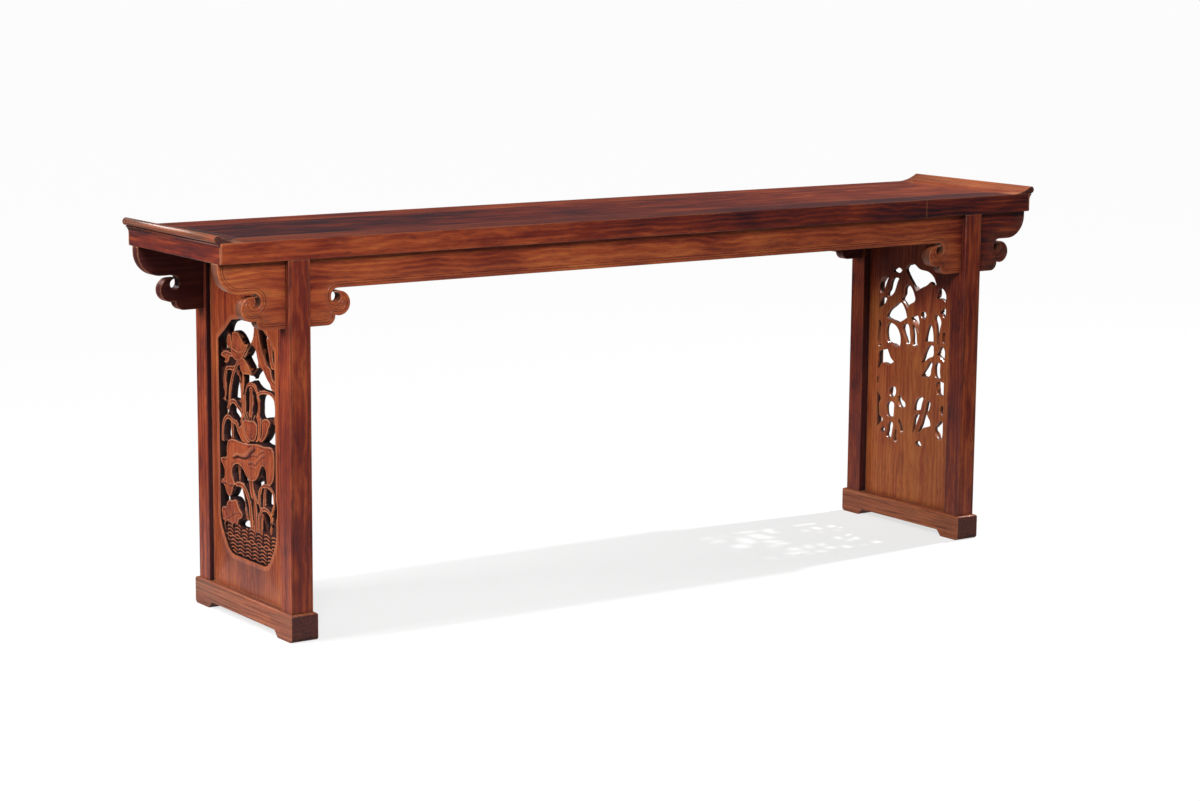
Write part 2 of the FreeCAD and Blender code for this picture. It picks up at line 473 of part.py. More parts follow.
def rounded_outline(corners):
    """A closed outline whose corners (x, y, radius) are rounded by tangent arcs."""
    curves = []
    joints = []
    count = len(corners)
    for index, (x, y, radius) in enumerate(corners):
        before = corners[index - 1]
        after = corners[(index + 1) % count]
        here = point(x, y)
        back = (point(before[0], before[1]) - here).normalize()
        ahead = (point(after[0], after[1]) - here).normalize()
        half_angle = back.getAngle(ahead) / 2
        reach = radius / math.tan(half_angle)
        to_centre = (back + ahead).normalize() * (radius / math.sin(half_angle))
        middle = here + to_centre - (back + ahead).normalize() * radius
        joints.append((here + back * reach, middle, here + ahead * reach, radius))
    for index, (start, middle, end, radius) in enumerate(joints):
        if radius > 0:
            curves.append(Part.Arc(start, middle, end))
        curves.append(Part.LineSegment(end, joints[(index + 1) % count][0]))
    return curves


def round_edges(body, name, radius, wanted):
    """Rounds the edges of the piece for which wanted(edge) is true."""
    doc.recompute()
    base = body.Tip
    chosen = [f"Edge{number}" for number, edge in enumerate(base.Shape.Edges, start=1) if wanted(edge)]
    feature = body.newObject("PartDesign::Fillet", name)
    feature.Base = (base, chosen)
    feature.setExpression("Radius", radius.formula)
    return feature


def runs_along(edge, axis):
    """Whether an edge is straight and lies along the axis."""
    if len(edge.Vertexes) != 2 or not isinstance(edge.Curve, Part.Line):
        return False
    return abs(edge.Curve.Direction.dot(axis)) > 1 - Part.Precision.confusion()


def make_long_rail(label, side):
    """Front or rear member of the top frame, mitred at both ends."""
    body = new_body(label)
    outer = s.top_half_depth * side
    inner = rail_inner * side
    corners = [(-s.top_half_length, outer), (s.top_half_length, outer), (end_inner, inner),
               (-end_inner, inner)]
    pad(body, polygon(body, f"{label}_plan", "XY_Plane", corners, top_under), s.top_thick)
    for end in (1, -1):
        place = "right" if end > 0 else "left"
        block(body, f"{label}_tenon_{place}",
              mirrored_limits((end_inner - s.corner_tenon_wide, corner_tenon_end), end),
              mirrored_limits((corner_tenon_near, corner_tenon_far), side),
              (corner_tenon_under, corner_tenon_top))
        for cheek, middle, thick in (("outer", cheek_middle, s.front_tenon_thick),
                                     ("inner", inner_cheek_middle, s.inner_tenon_thick)):
            mortise(body, f"{label}_{cheek}_mortise_{place}",
                    widened(about(leg_centre * end, s.leg_tenon_wide), s.fit),
                    widened(about(middle * side, thick), s.fit),
                    (top_under, top_under + s.leg_tenon_tall + s.fit))
    groove = mirrored_limits((rail_inner, rail_inner + s.panel_tongue + s.panel_play), side)
    mortise(body, f"{label}_groove", (-end_inner, end_inner), groove,
            widened((tongue_under, tongue_top), s.fit))
    for batten, place in batten_places.items():
        mortise(body, f"{label}_{batten}_mortise", widened(about(place, s.batten_tenon_wide), s.fit),
                mirrored_limits((rail_inner, rail_inner + s.batten_tenon_long + s.fit), side),
                widened((batten_tenon_under, batten_tenon_top), s.fit))

    def lower_outer(edge):
        middle = edge.BoundBox.Center
        on_edge = abs(middle.z - top_under.number) + abs(middle.y - outer.number)
        return runs_along(edge, FreeCAD.Vector(1, 0, 0)) and on_edge < s.fit.number
    round_edges(body, f"{label}_arris", s.rail_arris, lower_outer)


def make_end_member(label, side):
    """End member of the top frame, with the everted flange in the same piece of wood."""
    body = new_body(label)
    fascia = s.top_half_length.number
    top = s.top_height.number
    run = s.flange_run.number
    rise = s.flange_rise.number
    crest = (side * (fascia + s.crest_out.number), top + rise)
    start = (crest[0] - side * run, top)
    flange_radius = (run ** 2 + rise ** 2) / (2 * rise)
    flange = arc((start[0], top + flange_radius), start, crest, side)
    heel = (side * (fascia + s.nose_heel_out.number), top + s.nose_heel_up.number)
    nose = Part.Arc(point(*crest), point(side * (fascia + s.nose_out.number), top + s.nose_up.number),
                    point(*heel))
    quirk = (side * (fascia + s.quirk_out.number), top)
    flare_out = s.flare_out.number
    flare_rise = s.flare_tall.number - s.flare_down.number
    flare_tip = (side * (fascia + flare_out), top - s.flare_down.number)
    fascia_top = (side * fascia, top - s.flare_tall.number)
    flare_radius = (flare_out ** 2 + flare_rise ** 2) / (2 * flare_out)
    flare = arc((side * (fascia + flare_radius), fascia_top[1]), flare_tip, fascia_top, side)
    inner_top = (side * end_inner.number, top)
    inner_low = (side * end_inner.number, top_under.number)
    arris = s.rail_arris.number
    fascia_low = (side * fascia, top_under.number + arris)
    under_out = (side * (fascia - arris), top_under.number)
    arris_centre = (side * (fascia - arris), top_under.number + arris)
    curves = [line(inner_low, inner_top), line(inner_top, start), flange, nose, line(heel, quirk),
              line(quirk, flare_tip), flare, line(fascia_top, fascia_low),
              arc(arris_centre, fascia_low, under_out, -side), line(under_out, inner_low)]
    sketch = drawn(body, f"{label}_profile", "XZ_Plane", curves)
    pad(body, sketch, s.top_half_depth * 2, both_ways=True)
    for end in (1, -1):
        place = "rear" if end > 0 else "front"
        corners = [(s.top_half_length * side, s.top_half_depth * end), (end_inner * side, rail_inner * end),
                   (end_inner * side, s.top_half_depth * end)]
        wedge = polygon(body, f"{label}_mitre_{place}", "XY_Plane", corners, s.top_height)
        pocket(body, wedge, s.top_thick)
        mortise(body, f"{label}_mortise_{place}",
                mirrored_limits((end_inner, corner_tenon_end + s.fit), side),
                widened(mirrored_limits((corner_tenon_near, corner_tenon_far), end), s.fit),
                widened((corner_tenon_under, corner_tenon_top), s.fit))
    mortise(body, f"{label}_groove",
            mirrored_limits((end_inner, end_inner + s.panel_tongue + s.panel_play), side),
            (-rail_inner, rail_inner), widened((tongue_under, tongue_top), s.fit))


def dovetail(middle, room):
    """Section of the dovetail on a batten, or of its groove when room is given."""
    neck = s.dovetail_neck / 2 + room
    head = s.dovetail_head / 2 + room
    top = panel_under + s.dovetail_tall + room
    return [(middle - neck, panel_under), (middle + neck, panel_under), (middle + head, top),
            (middle - head, top)]


def make_panel(label):
    """Floating panel of the top, tongued on four sides and grooved below for its battens."""
    body = new_body(label)
    half_long = end_inner - s.fit
    half_deep = rail_inner - s.fit
    block(body, f"{label}_board", (-half_long, half_long), (-half_deep, half_deep),
          (panel_under, s.top_height))
    long_tongue = end_inner + s.panel_tongue
    deep_tongue = rail_inner + s.panel_tongue
    block(body, f"{label}_end_tongues", (-long_tongue, long_tongue), (-half_deep, half_deep),
          (tongue_under, tongue_top))
    block(body, f"{label}_side_tongues", (-half_long, half_long), (-deep_tongue, deep_tongue),
          (tongue_under, tongue_top))
    for batten, place in batten_places.items():
        groove = polygon(body, f"{label}_{batten}_groove", "XZ_Plane", dovetail(place, s.fit))
        pocket(body, groove, rail_inner * 2, both_ways=True)


def make_batten(label, place, carries_board):
    """Batten that slides in the dovetail groove and is tenoned into both long rails.

    The two end battens are also grooved below for the top tongue of the openwork boards.
    """
    body = new_body(label)
    half_long = rail_inner - s.fit
    wide = about(place, s.batten_wide)
    section = polygon(body, f"{label}_section", "XZ_Plane",
                      rectangle(wide[0], wide[1], top_under, panel_under))
    pad(body, section, half_long * 2, both_ways=True)
    tail = polygon(body, f"{label}_dovetail", "XZ_Plane", dovetail(place, ZERO))
    pad(body, tail, half_long * 2, both_ways=True)
    narrow = about(place, s.batten_tenon_wide)
    tenon = polygon(body, f"{label}_tenon", "XZ_Plane",
                    rectangle(narrow[0], narrow[1], batten_tenon_under, batten_tenon_top))
    pad(body, tenon, (rail_inner + s.batten_tenon_long) * 2, both_ways=True)
    if carries_board:
        mortise(body, f"{label}_board_groove", widened(about(place, s.board_tongue_thick), s.fit),
                widened((-board_end_reach, board_end_reach), s.fit),
                (top_under, top_under + s.board_tongue + s.fit))


def make_leg(label, end, side):
    """Leg slotted at the top to clasp the apron, with twin tenons above and one below."""
    body = new_body(label)
    middle = leg_centre * end
    wide = about(middle, s.leg_wide)
    deep = mirrored_limits((leg_inside, leg_face), side)
    block(body, f"{label}_shaft", wide, deep, (s.foot_tall, top_under))

    def long_arris(edge):
        return runs_along(edge, FreeCAD.Vector(0, 0, 1))
    round_edges(body, f"{label}_arris", s.leg_arris, long_arris)
    mortise(body, f"{label}_clasp", wide, mirrored_limits((apron_back, apron_face), side),
            (apron_under - s.spandrel_drop, top_under))
    mortise(body, f"{label}_groove", widened(about(board_middle * end, s.board_tongue_thick), s.fit),
            mirrored_limits((leg_inside, leg_inside + s.board_tongue + s.fit), side),
            (s.foot_tall, top_under))
    for edge_side in (1, -1):
        bead = middle + (s.leg_wide / 2 - s.leg_bead) * edge_side
        mortise(body, f"{label}_bead_{'outer' if edge_side == end else 'inner'}",
                about(bead, s.bead_line_wide), mirrored_limits((leg_face - s.bead_line_deep, leg_face), side),
                (s.foot_tall, top_under))
    for cheek, where, thick in (("outer", cheek_middle, s.front_tenon_thick),
                                ("inner", inner_cheek_middle, s.inner_tenon_thick)):
        block(body, f"{label}_{cheek}_tenon", about(middle, s.leg_tenon_wide),
              about(where * side, thick), (top_under, top_under + s.leg_tenon_tall))
    block(body, f"{label}_foot_tenon", about(middle, s.foot_tenon_wide),
          about((leg_face - s.leg_deep / 2) * side, s.foot_tenon_deep),
          (s.foot_tall - s.foot_tenon_tall, s.foot_tall))


def scroll(out):
    """Lower edge of one spandrel scroll, from the apron to the leg.

    out is 1 for the scroll on the outer side of the right leg and -1 for the inner one.
    """
    leg = leg_centre.number
    under = apron_under.number
    lobe = lobe_middle.number
    lobe_up = under - (s.throat + s.lobe_radius).number
    eye = lobe - s.eye_back.number
    eye_up = lobe_up + (s.lobe_radius - s.hook_thick - s.eye_radius).number
    neck = eye - s.eye_radius.number
    neck_round = s.neck_round.number
    tip = lobe - s.hook_long.number
    lobe_top = lobe_up + s.lobe_radius.number
    toe = toe_reach.number
    toe_radius = s.toe_radius.number
    toe_low = under - s.spandrel_drop.number
    step_up = lobe_up - math.sqrt(s.lobe_radius.number ** 2 - (lobe - toe) ** 2)
    inside_tip = tip + s.hook_thick.number
    eye_end_up = eye_up + math.sqrt(s.eye_radius.number ** 2 - (eye - inside_tip) ** 2)

    def place(away, up):
        return (leg + out * away, up)
    return [
        arc(place(neck + neck_round, under - neck_round), place(neck + neck_round, under),
            place(neck, under - neck_round), out),
        line(place(neck, under - neck_round), place(neck, eye_up)),
        arc(place(eye, eye_up), place(neck, eye_up), place(inside_tip, eye_end_up), out),
        line(place(inside_tip, eye_end_up), place(tip, lobe_top)),
        line(place(tip, lobe_top), place(lobe, lobe_top)),
        arc(place(lobe, lobe_up), place(lobe, lobe_top), place(toe, step_up), -out),
        line(place(toe, step_up), place(toe, toe_low + toe_radius)),
        arc(place(toe - toe_radius, toe_low + toe_radius), place(toe, toe_low + toe_radius),
            place(toe - toe_radius, toe_low), -out),
    ]


def make_apron(label, side):
    """Apron board with its four scrolled spandrels, in one length, clasped by two legs."""
    body = new_body(label)
    leg = leg_centre.number
    under = apron_under.number
    top = top_under.number
    end = (s.top_half_length - s.apron_end_gap).number
    sweep = s.apron_sweep.number
    neck_out = (lobe_middle - s.eye_back - s.eye_radius + s.neck_round).number
    toe_flat = (toe_reach - s.toe_radius).number
    toe_low = under - s.spandrel_drop.number
    curves = [line((0, top), (0, under)), line((0, under), (leg - neck_out, under))]
    curves += scroll(-1)
    curves.append(line((leg - toe_flat, toe_low), (leg + toe_flat, toe_low)))
    curves += scroll(1)
    curves += [line((leg + neck_out, under), (end - sweep, under)),
               arc((end - sweep, under + sweep), (end - sweep, under), (end, under + sweep), 1),
               line((end, under + sweep), (end, top)), line((end, top), (0, top))]
    middle = (apron_face + apron_back) / 2 * side
    outline = drawn(body, f"{label}_outline", "XZ_Plane", curves, -middle)
    half = pad(body, outline, s.apron_thick, both_ways=True)
    mirror = body.newObject("PartDesign::Mirrored", f"{label}_other_half")
    mirror.Originals = [half]
    mirror_plane = [item for item in body.Origin.OriginFeatures if item.Role == "YZ_Plane"][0]
    mirror.MirrorPlane = (mirror_plane, [""])
    body.Tip = mirror


def make_board(label, side, pierced_shares):
    """Openwork lotus board of one end, drawn as seen from outside and turned for the left end.

    The two boards follow one cartoon, sawn by hand, so their pierced spaces differ a little. Each
    space is bounded by the straight cuts of a fretsaw.
    """
    body = new_body(label)
    across = opening_half_wide.number / HALF_OPENING_SQUARES
    up = (top_under - s.foot_tall).number / BOARD_SQUARES
    low = s.foot_tall.number
    half_wide = leg_inside
    face = s.board_thick
    plain = polygon(body, f"{label}_blank", "YZ_Plane",
                    rectangle(-half_wide, half_wide, s.foot_tall, top_under))
    pad(body, plain, s.board_thick)
    tongue_low = (s.board_thick - s.board_tongue_thick) / 2
    side_reach = half_wide + s.board_tongue
    tongue = polygon(body, f"{label}_tongues", "YZ_Plane",
                     rectangle(-side_reach, side_reach, s.foot_tall, top_under), tongue_low)
    pad(body, tongue, s.board_tongue_thick)
    ends = polygon(body, f"{label}_end_tongues", "YZ_Plane",
                   rectangle(-board_end_reach, board_end_reach, s.foot_tall - s.board_tongue,
                             top_under + s.board_tongue),
                   tongue_low)
    pad(body, ends, s.board_tongue_thick)
    corners = [(x * across, low + z * up, radius * up) for x, z, radius in OPENING_SHARES]
    opening = rounded_outline(corners)
    wire = Part.Wire([curve.toShape() for curve in opening])
    band = wire.makeOffset2D(s.border_wide.number)
    band_curves = []
    for edge in band.OrderedEdges:
        first, last = edge.ParameterRange
        if isinstance(edge.Curve, Part.Line):
            band_curves.append(Part.LineSegment(edge.valueAt(first), edge.valueAt(last)))
        else:
            band_curves.append(Part.Arc(edge.valueAt(first), edge.valueAt((first + last) / 2),
                                        edge.valueAt(last)))
    pad(body, drawn(body, f"{label}_border", "YZ_Plane", opening + band_curves, face), s.border_proud)
    pocket(body, drawn(body, f"{label}_field", "YZ_Plane", opening, face), s.field_deep)
    cuts = []
    for outline in pierced_shares:
        cut = [(x * across, low + z * up) for x, z in outline]
        cuts += [line(cut[index - 1], cut[index]) for index in range(len(cut))]
    pocket(body, drawn(body, f"{label}_piercing", "YZ_Plane", cuts, face), s.board_thick * 2)
    turn = 0 if side > 0 else 180
    upright = FreeCAD.Vector(0, 0, 1)
    body.Placement = FreeCAD.Placement(FreeCAD.Vector(0, 0, 0), FreeCAD.Rotation(upright, turn))
    body.setExpression("Placement.Base.x", (board_inner * side).formula)


def make_foot(label, side):
    """Runner foot across one end, with its underside cut away between two pads."""
    body = new_body(label)
    half_long = foot_half_length.number
    tall = s.foot_tall.number
    pad_inner = (foot_half_length - s.foot_pad).number
    cut_inner = (foot_half_length - s.foot_pad - s.foot_cut_slope).number
    cut_tall = s.foot_cut_tall.number
    end_round = s.foot_end_round.number
    cut_round = s.foot_cut_round.number
    corners = [(half_long, 0, end_round), (half_long, tall, 0), (-half_long, tall, 0),
               (-half_long, 0, end_round), (-pad_inner, 0, 0), (-cut_inner, cut_tall, cut_round),
               (cut_inner, cut_tall, cut_round), (pad_inner, 0, 0)]
    middle = leg_centre * side
    profile = drawn(body, f"{label}_profile", "YZ_Plane", rounded_outline(corners), middle)
    pad(body, profile, s.foot_wide, both_ways=True)

    def top_arris(edge):
        flat = abs(edge.BoundBox.ZMin - tall) + abs(edge.BoundBox.ZMax - tall) < s.fit.number
        return flat
    round_edges(body, f"{label}_arris", s.foot_arris, top_arris)
    for end in (1, -1):
        mortise(body, f"{label}_mortise_{'rear' if end > 0 else 'front'}",
                widened(about(middle, s.foot_tenon_wide), s.fit),
                widened(about((leg_face - s.leg_deep / 2) * end, s.foot_tenon_deep), s.fit),
                (s.foot_tall - s.foot_tenon_tall - s.fit, s.foot_tall))
    mortise(body, f"{label}_groove", widened(about(board_middle * side, s.board_tongue_thick), s.fit),
            widened((-board_end_reach, board_end_reach), s.fit),
            (s.foot_tall - s.board_tongue - s.fit, s.foot_tall))


make_long_rail("top_front_rail", -1)
make_long_rail("top_rear_rail", 1)
make_end_member("top_left_end", -1)
make_end_member("top_right_end", 1)
make_panel("top_panel")
for batten, place in batten_places.items():
    make_batten(batten, place, carries_board=batten.startswith("batten_far"))
make_apron("front_apron", -1)
make_apron("rear_apron", 1)
for end, end_name, pierced_shares in ((-1, "left", LEFT_PIERCED_SHARES),
                                      (1, "right", RIGHT_PIERCED_SHARES)):
    for side, side_name in ((-1, "front"), (1, "rear")):
        make_leg(f"leg_{side_name}_{end_name}", end, side)
    make_board(f"lotus_board_{end_name}", end, pierced_shares)
    make_foot(f"foot_{end_name}", end)
doc.recompute()

for item in doc.Objects:
    if "Invalid" in item.State or "Error" in item.State:
        raise RuntimeError(f"{item.Label} is {item.State}")
    if item.TypeId == "PartDesign::Pocket" and item.Shape.Volume >= item.BaseFeature.Shape.Volume:
        raise RuntimeError(f"{item.Label} cuts nothing")
os.makedirs("parts", exist_ok=True)
for body in sub_parts:
    shape = body.Shape
    if shape.isNull() or not shape.isValid() or len(shape.Solids) != 1:
        raise RuntimeError(f"{body.Label} is not one sound solid")
    shape.exportStep(f"parts/{body.Label}.step")
    print(body.Label, round(shape.Volume / 1000), "cm3,", len(shape.Faces), "faces")
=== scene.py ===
# %% [markdown]
# # An altar table with carved ends
#
# This lesson dresses a long altar table. Its joinery comes ready made: every rail, leg, board and
# foot is a solid piece of the frame that is loaded below, at its real size and in its real place.
# What is made here is what a finisher and a carver would add: the wood itself, its polish and
# wear, the beaded edge of the aprons and the lotus pond in the two end boards.

import math

import bpy
import numpy as np
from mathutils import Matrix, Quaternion, Vector
from mathutils.geometry import delaunay_2d_cdt
from mathutils.kdtree import KDTree


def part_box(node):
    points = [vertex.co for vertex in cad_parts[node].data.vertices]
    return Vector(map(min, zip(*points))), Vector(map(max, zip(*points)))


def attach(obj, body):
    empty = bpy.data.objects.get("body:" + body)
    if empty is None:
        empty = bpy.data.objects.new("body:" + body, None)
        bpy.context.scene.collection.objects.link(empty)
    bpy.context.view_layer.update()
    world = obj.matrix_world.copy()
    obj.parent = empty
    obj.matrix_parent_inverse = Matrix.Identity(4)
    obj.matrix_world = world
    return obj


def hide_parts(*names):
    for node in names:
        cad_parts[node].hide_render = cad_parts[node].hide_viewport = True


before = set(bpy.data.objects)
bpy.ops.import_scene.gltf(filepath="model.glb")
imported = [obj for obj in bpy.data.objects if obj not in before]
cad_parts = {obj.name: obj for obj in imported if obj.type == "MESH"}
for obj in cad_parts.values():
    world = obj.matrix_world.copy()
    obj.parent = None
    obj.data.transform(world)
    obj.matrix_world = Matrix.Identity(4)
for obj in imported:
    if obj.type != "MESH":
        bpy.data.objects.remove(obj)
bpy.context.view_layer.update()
MM = 0.001

# %% [markdown]
# ## Where the viewer stands
#
# A long table is pictured from a few metres away with a long lens, so that its far end doesn't
# shrink too much. A camera could be aimed with a constraint, but three angles and a place say
# the same thing in four values, and they can be read. Yaw turns from the back wall towards the
# right, pitch looks down, and roll is the small tilt of a tripod that isn't quite level.

# %% Camera
PHOTO_WIDTH = 1200
FOCAL_PIXELS = 2778.96
EYE = Vector((-3.7126, -5.2958, 1.4906))
YAW = 0.60808
PITCH = 0.16633
ROLL = 0.00815

lens = bpy.data.cameras.new("camera")
lens.sensor_fit = "HORIZONTAL"
lens.lens = lens.sensor_width * FOCAL_PIXELS / PHOTO_WIDTH
camera = bpy.data.objects.new("camera", lens)
bpy.context.scene.collection.objects.link(camera)
bpy.context.scene.camera = camera
ahead = Vector((math.sin(YAW) * math.cos(PITCH), math.cos(YAW) * math.cos(PITCH), -math.sin(PITCH)))
camera.location = EYE
camera.rotation_mode = "QUATERNION"
camera.rotation_quaternion = ahead.to_track_quat("-Z", "Y") @ Quaternion((0, 0, 1), ROLL)
print("lens", round(lens.lens, 1), "mm")

# %% [markdown]
# ## Shader maths that reads like maths
#
# A wood finish is arithmetic on noise: rings are a distance, pores are a threshold, and wear is
# one mask times another. Written as nodes and links, that hides the idea, so one small class
# wraps a socket and turns Python's own operators into Math nodes. A second class holds the node
# tree of one finish and makes every other node, with its settings first and its sockets after.

# %% A value on its way through a finish
class Strand:
    """A socket of a finish that takes part in arithmetic."""

    def __init__(self, finish, socket):
        self.finish = finish
        self.socket = socket

    def maths(self, operation, *others):
        """A Math node on this value and the others."""
        numbers = dict(enumerate((self, *others)))
        return self.finish.node("ShaderNodeMath", {"operation": operation}, numbers)

    def __add__(self, other):
        return self.maths("ADD", other)

    def __mul__(self, other):
        return self.maths("MULTIPLY", other)

    def __sub__(self, other):
        return self.maths("SUBTRACT", other)

    def __rsub__(self, other):
        return self * -1.0 + other

    def __truediv__(self, other):
        return self.maths("DIVIDE", other)

    def __pow__(self, power):
        return self.maths("POWER", power)

    __radd__ = __add__
    __rmul__ = __mul__

    def between(self, low, high):
        """0 below low, 1 above high, and smooth between them."""
        settings = {"interpolation_type": "SMOOTHSTEP"}
        return self.finish.node("ShaderNodeMapRange", settings, {0: self, 1: low, 2: high})


print("values can be added, multiplied and raised to a power")

# %% The node tree of one finish
class Finish:
    """The node tree of one finish."""

    def __init__(self, name):
        self.material = bpy.data.materials.new(name)
        self.material.use_nodes = True
        self.tree = self.material.node_tree
        self.tree.nodes.clear()

    def node(self, kind, settings=None, sockets=None, out=0):
        """A new node with its settings, and then the values or links of its sockets."""
        made = self.tree.nodes.new(kind)
        for name, value in (settings or {}).items():
            if name == "stops":
                self.set_stops(made.color_ramp, value)
            else:
                setattr(made, name, value)
        for key, value in (sockets or {}).items():
            if isinstance(value, Strand):
                self.tree.links.new(value.socket, made.inputs[key])
            else:
                made.inputs[key].default_value = value
        return Strand(self, made.outputs[out])

    def set_stops(self, ramp, stops):
        """Gives a colour ramp its stops, each a place and a colour."""
        while len(ramp.elements) < len(stops):
            ramp.elements.new(1.0)
        for element, (place, colour) in zip(ramp.elements, stops):
            element.position = place
            element.color = (*colour, 1.0)

    def part(self, vector, axis):
        """One of the three parts of a vector."""
        return self.node("ShaderNodeSeparateXYZ", None, {0: vector}, out=axis)

    def blend(self, share, first, second):
        """first where share is 0 and second where it is 1, for colours."""
        return self.node("ShaderNodeMix", {"data_type": "RGBA"}, {0: share, 6: first, 7: second}, out=2)

    def shown(self, surface):
        """The material, with surface as what it shows."""
        end = self.tree.nodes.new("ShaderNodeOutputMaterial")
        self.tree.links.new(surface.socket, end.inputs["Surface"])
        return self.material


print("shader maths ready")

# %% [markdown]
# ## The wood
#
# The table is a dense red-brown hardwood with an old hand-rubbed polish. Three things make such
# wood believable. Its growth rings are cylinders round a heart that lies outside the board, so a
# board cut beside the heart shows tall arches and one cut far from it shows straight lines. Its
# fibres and pores are much longer than they are wide and always follow the grain. And two
# centuries of cloths and hands leave the arrises paler and the corners darker, and here the
# corners also get painted shade and the arrises and crests painted highlights.
#
# The patterns are worked out in the table's own space, so every piece gets its own grain
# direction and its own heart, and nothing repeats from one piece to the next. An image of wood
# would be quicker, but it would have to be unwrapped and would show its seams on end grain.

# %% Patterns that follow the grain
GRAIN_FRAMES = {"X": (0, 1, 2), "Y": (1, 0, 2), "Z": (2, 0, 1)}
# In metres: from one growth ring to the next, and how far the rings wander and ripple.
RING = 0.009
WANDER = 0.070
RIPPLE = 0.018
# How far each pattern moves the tone of the wood.
SHARES = {"growth": 0.17, "cloud": 0.45, "mottle": 0.95, "streak": 0.52, "fibre": 0.24}


class Timber(Finish):
    """A finish whose patterns follow the grain of one piece.

    grain is the axis along the fibres, and heart the place of the pith in the two other axes, in
    metres.
    """

    def __init__(self, name, grain, heart):
        super().__init__(name)
        along, one, other = GRAIN_FRAMES[grain]
        self.spot = self.node("ShaderNodeTexCoord", out="Object")
        self.normal = self.node("ShaderNodeTexCoord", out="Normal")
        self.along = self.part(self.spot, along)
        self.end_facing = self.facing(along)
        self.off_heart = {1: self.part(self.spot, one) - heart[0],
                          2: self.part(self.spot, other) - heart[1]}
        self.place = self.node("ShaderNodeCombineXYZ", None, {0: self.along, **self.off_heart})

    def facing(self, axis):
        """How squarely a face looks along an axis, either way."""
        return self.part(self.normal, axis).maths("ABSOLUTE")

    def stretched(self, times_along, times_across, detail=2.0, roughness=0.5):
        """Noise with so many cells in a metre along the grain and across it."""
        factors = (times_along, times_across, times_across)
        moved = self.node("ShaderNodeVectorMath", {"operation": "MULTIPLY"}, {0: self.place, 1: factors})
        sockets = {"Vector": moved, "Scale": 1.0, "Detail": detail, "Roughness": roughness}
        return self.node("ShaderNodeTexNoise", None, sockets, out="Fac")

    def growth(self):
        """Growth rings that wander a little, with pale bands narrower than the dark ones."""
        across = self.node("ShaderNodeCombineXYZ", None, {0: 0.0, **self.off_heart})
        radius = self.node("ShaderNodeVectorMath", {"operation": "LENGTH"}, {0: across}, out="Value")
        wander = self.stretched(1.1, 5.0, 1.0) * WANDER + self.stretched(9.0, 22.0) * RIPPLE
        rings = (radius + wander) / RING
        return ((rings * math.tau).maths("SINE") * 0.5 + 0.5) ** 1.6

    def patterns(self):
        """Every pattern that moves the tone, each about 0.5 on average."""
        return {"growth": self.growth(), "cloud": self.stretched(1.6, 4.0),
                "mottle": self.stretched(6.0, 21.0, 4.0, 0.62),
                "streak": self.stretched(3.0, 190.0, 3.0, 0.6),
                "fibre": self.stretched(24.0, 900.0, 2.0, 0.6)}


print("patterns", ", ".join(SHARES))

# %% [markdown]
# ## Polish, wear, dirt and painted light
#
# The tone picks a colour from a ramp that runs from nearly black to amber. Over it come the
# darker things, such as open pores, stains and end grain, which drinks the polish, and faces
# painted dark as shade. Wear, dirt and painted light need to know the shape: a ray test that
# looks outwards finds the corners, which are painted darker for dirt and for shade, and the same
# test turned inwards finds the arrises, which are painted paler for the rubbing of cloths and
# for highlights.

# %% Colour of the bare wood
DEEP = (0.025, 0.0080, 0.0120)
RED = (0.143, 0.0200, 0.0110)
WARM = (0.296, 0.0580, 0.0190)
AMBER = (0.460, 0.135, 0.035)
WORN_AND_HIGHLIGHT = (0.520, 0.215, 0.105)
SOOT_AND_SHADE = (0.009, 0.0045, 0.0055)
HEARTWOOD = [(0.0, DEEP), (0.33, RED), (0.62, WARM), (1.0, AMBER)]
# Painted shade towards the end of a piece: over how many metres it comes in, and how far the tone drops.
SHADE_SLOPE, SHADE_DROP = 0.09, 0.31


def toned(t, patterns, tone, light_fade, side, shaded_past):
    """The colour of the bare wood, with painted light and shade laid over its tone."""
    # light_fade and side paint light and shade into the tone.
    shade = t.along * light_fade + tone + t.facing(0) * side
    for pattern, share in SHARES.items():
        shade = shade + (patterns[pattern] - 0.5) * share
    # Past shaded_past the piece is painted darker, as shade.
    if shaded_past:
        shade = shade - t.along.between(shaded_past, shaded_past + SHADE_SLOPE) * SHADE_DROP
    return t.node("ShaderNodeValToRGB", {"stops": HEARTWOOD}, {0: shade})


print("heartwood runs through", len(HEARTWOOD), "colours")

# %% Wear and grime
# In metres: how far the rays look, how wide the hairline is, and over what height the band of
# rubbing and painted sheen comes in.
CORNER_REACH, ARRIS_REACH = 0.020, 0.0038
SEAM_HALF, SEAM_EDGE = 0.0003, 0.0011
RUB_AND_SHEEN_SLOPE = 0.004
# Each pair is where a mask begins and where it is full.
OPEN_CORNER, OPEN_ARRIS, WORN_AND_HIGHLIGHT_PATCH, FLAT_FACE = (0.35, 0.93), (0.45, 0.82), (0.25, 0.60), (0.35, 0.8)
# The band of rubbing and painted sheen runs in streaks with gaps between them, and lightens the
# dirt and painted shade under it.
RUB_AND_SHEEN_STREAKS, RUB_AND_SHEEN_GAPS, RUB_AND_SHEEN_LIGHTENS = 1.6, 0.3, 0.7
# A carved face tells how deep it is and how it is painted, so there corners count for less, and
# arrises and the painted highlights of crests more.
CARVED_CORNERS, CARVED_ARRISES, CARVED_CRESTS, GRIME_AND_SHADE_MOST = 0.5, 1.5, 1.3, 1.2


def openness(t, reach, inwards):
    """1 in the open, and less where the surface closes in around a place, or under it."""
    settings = {"samples": 6, "inside": inwards}
    return t.node("ShaderNodeAmbientOcclusion", settings, {"Distance": reach}, out="AO")


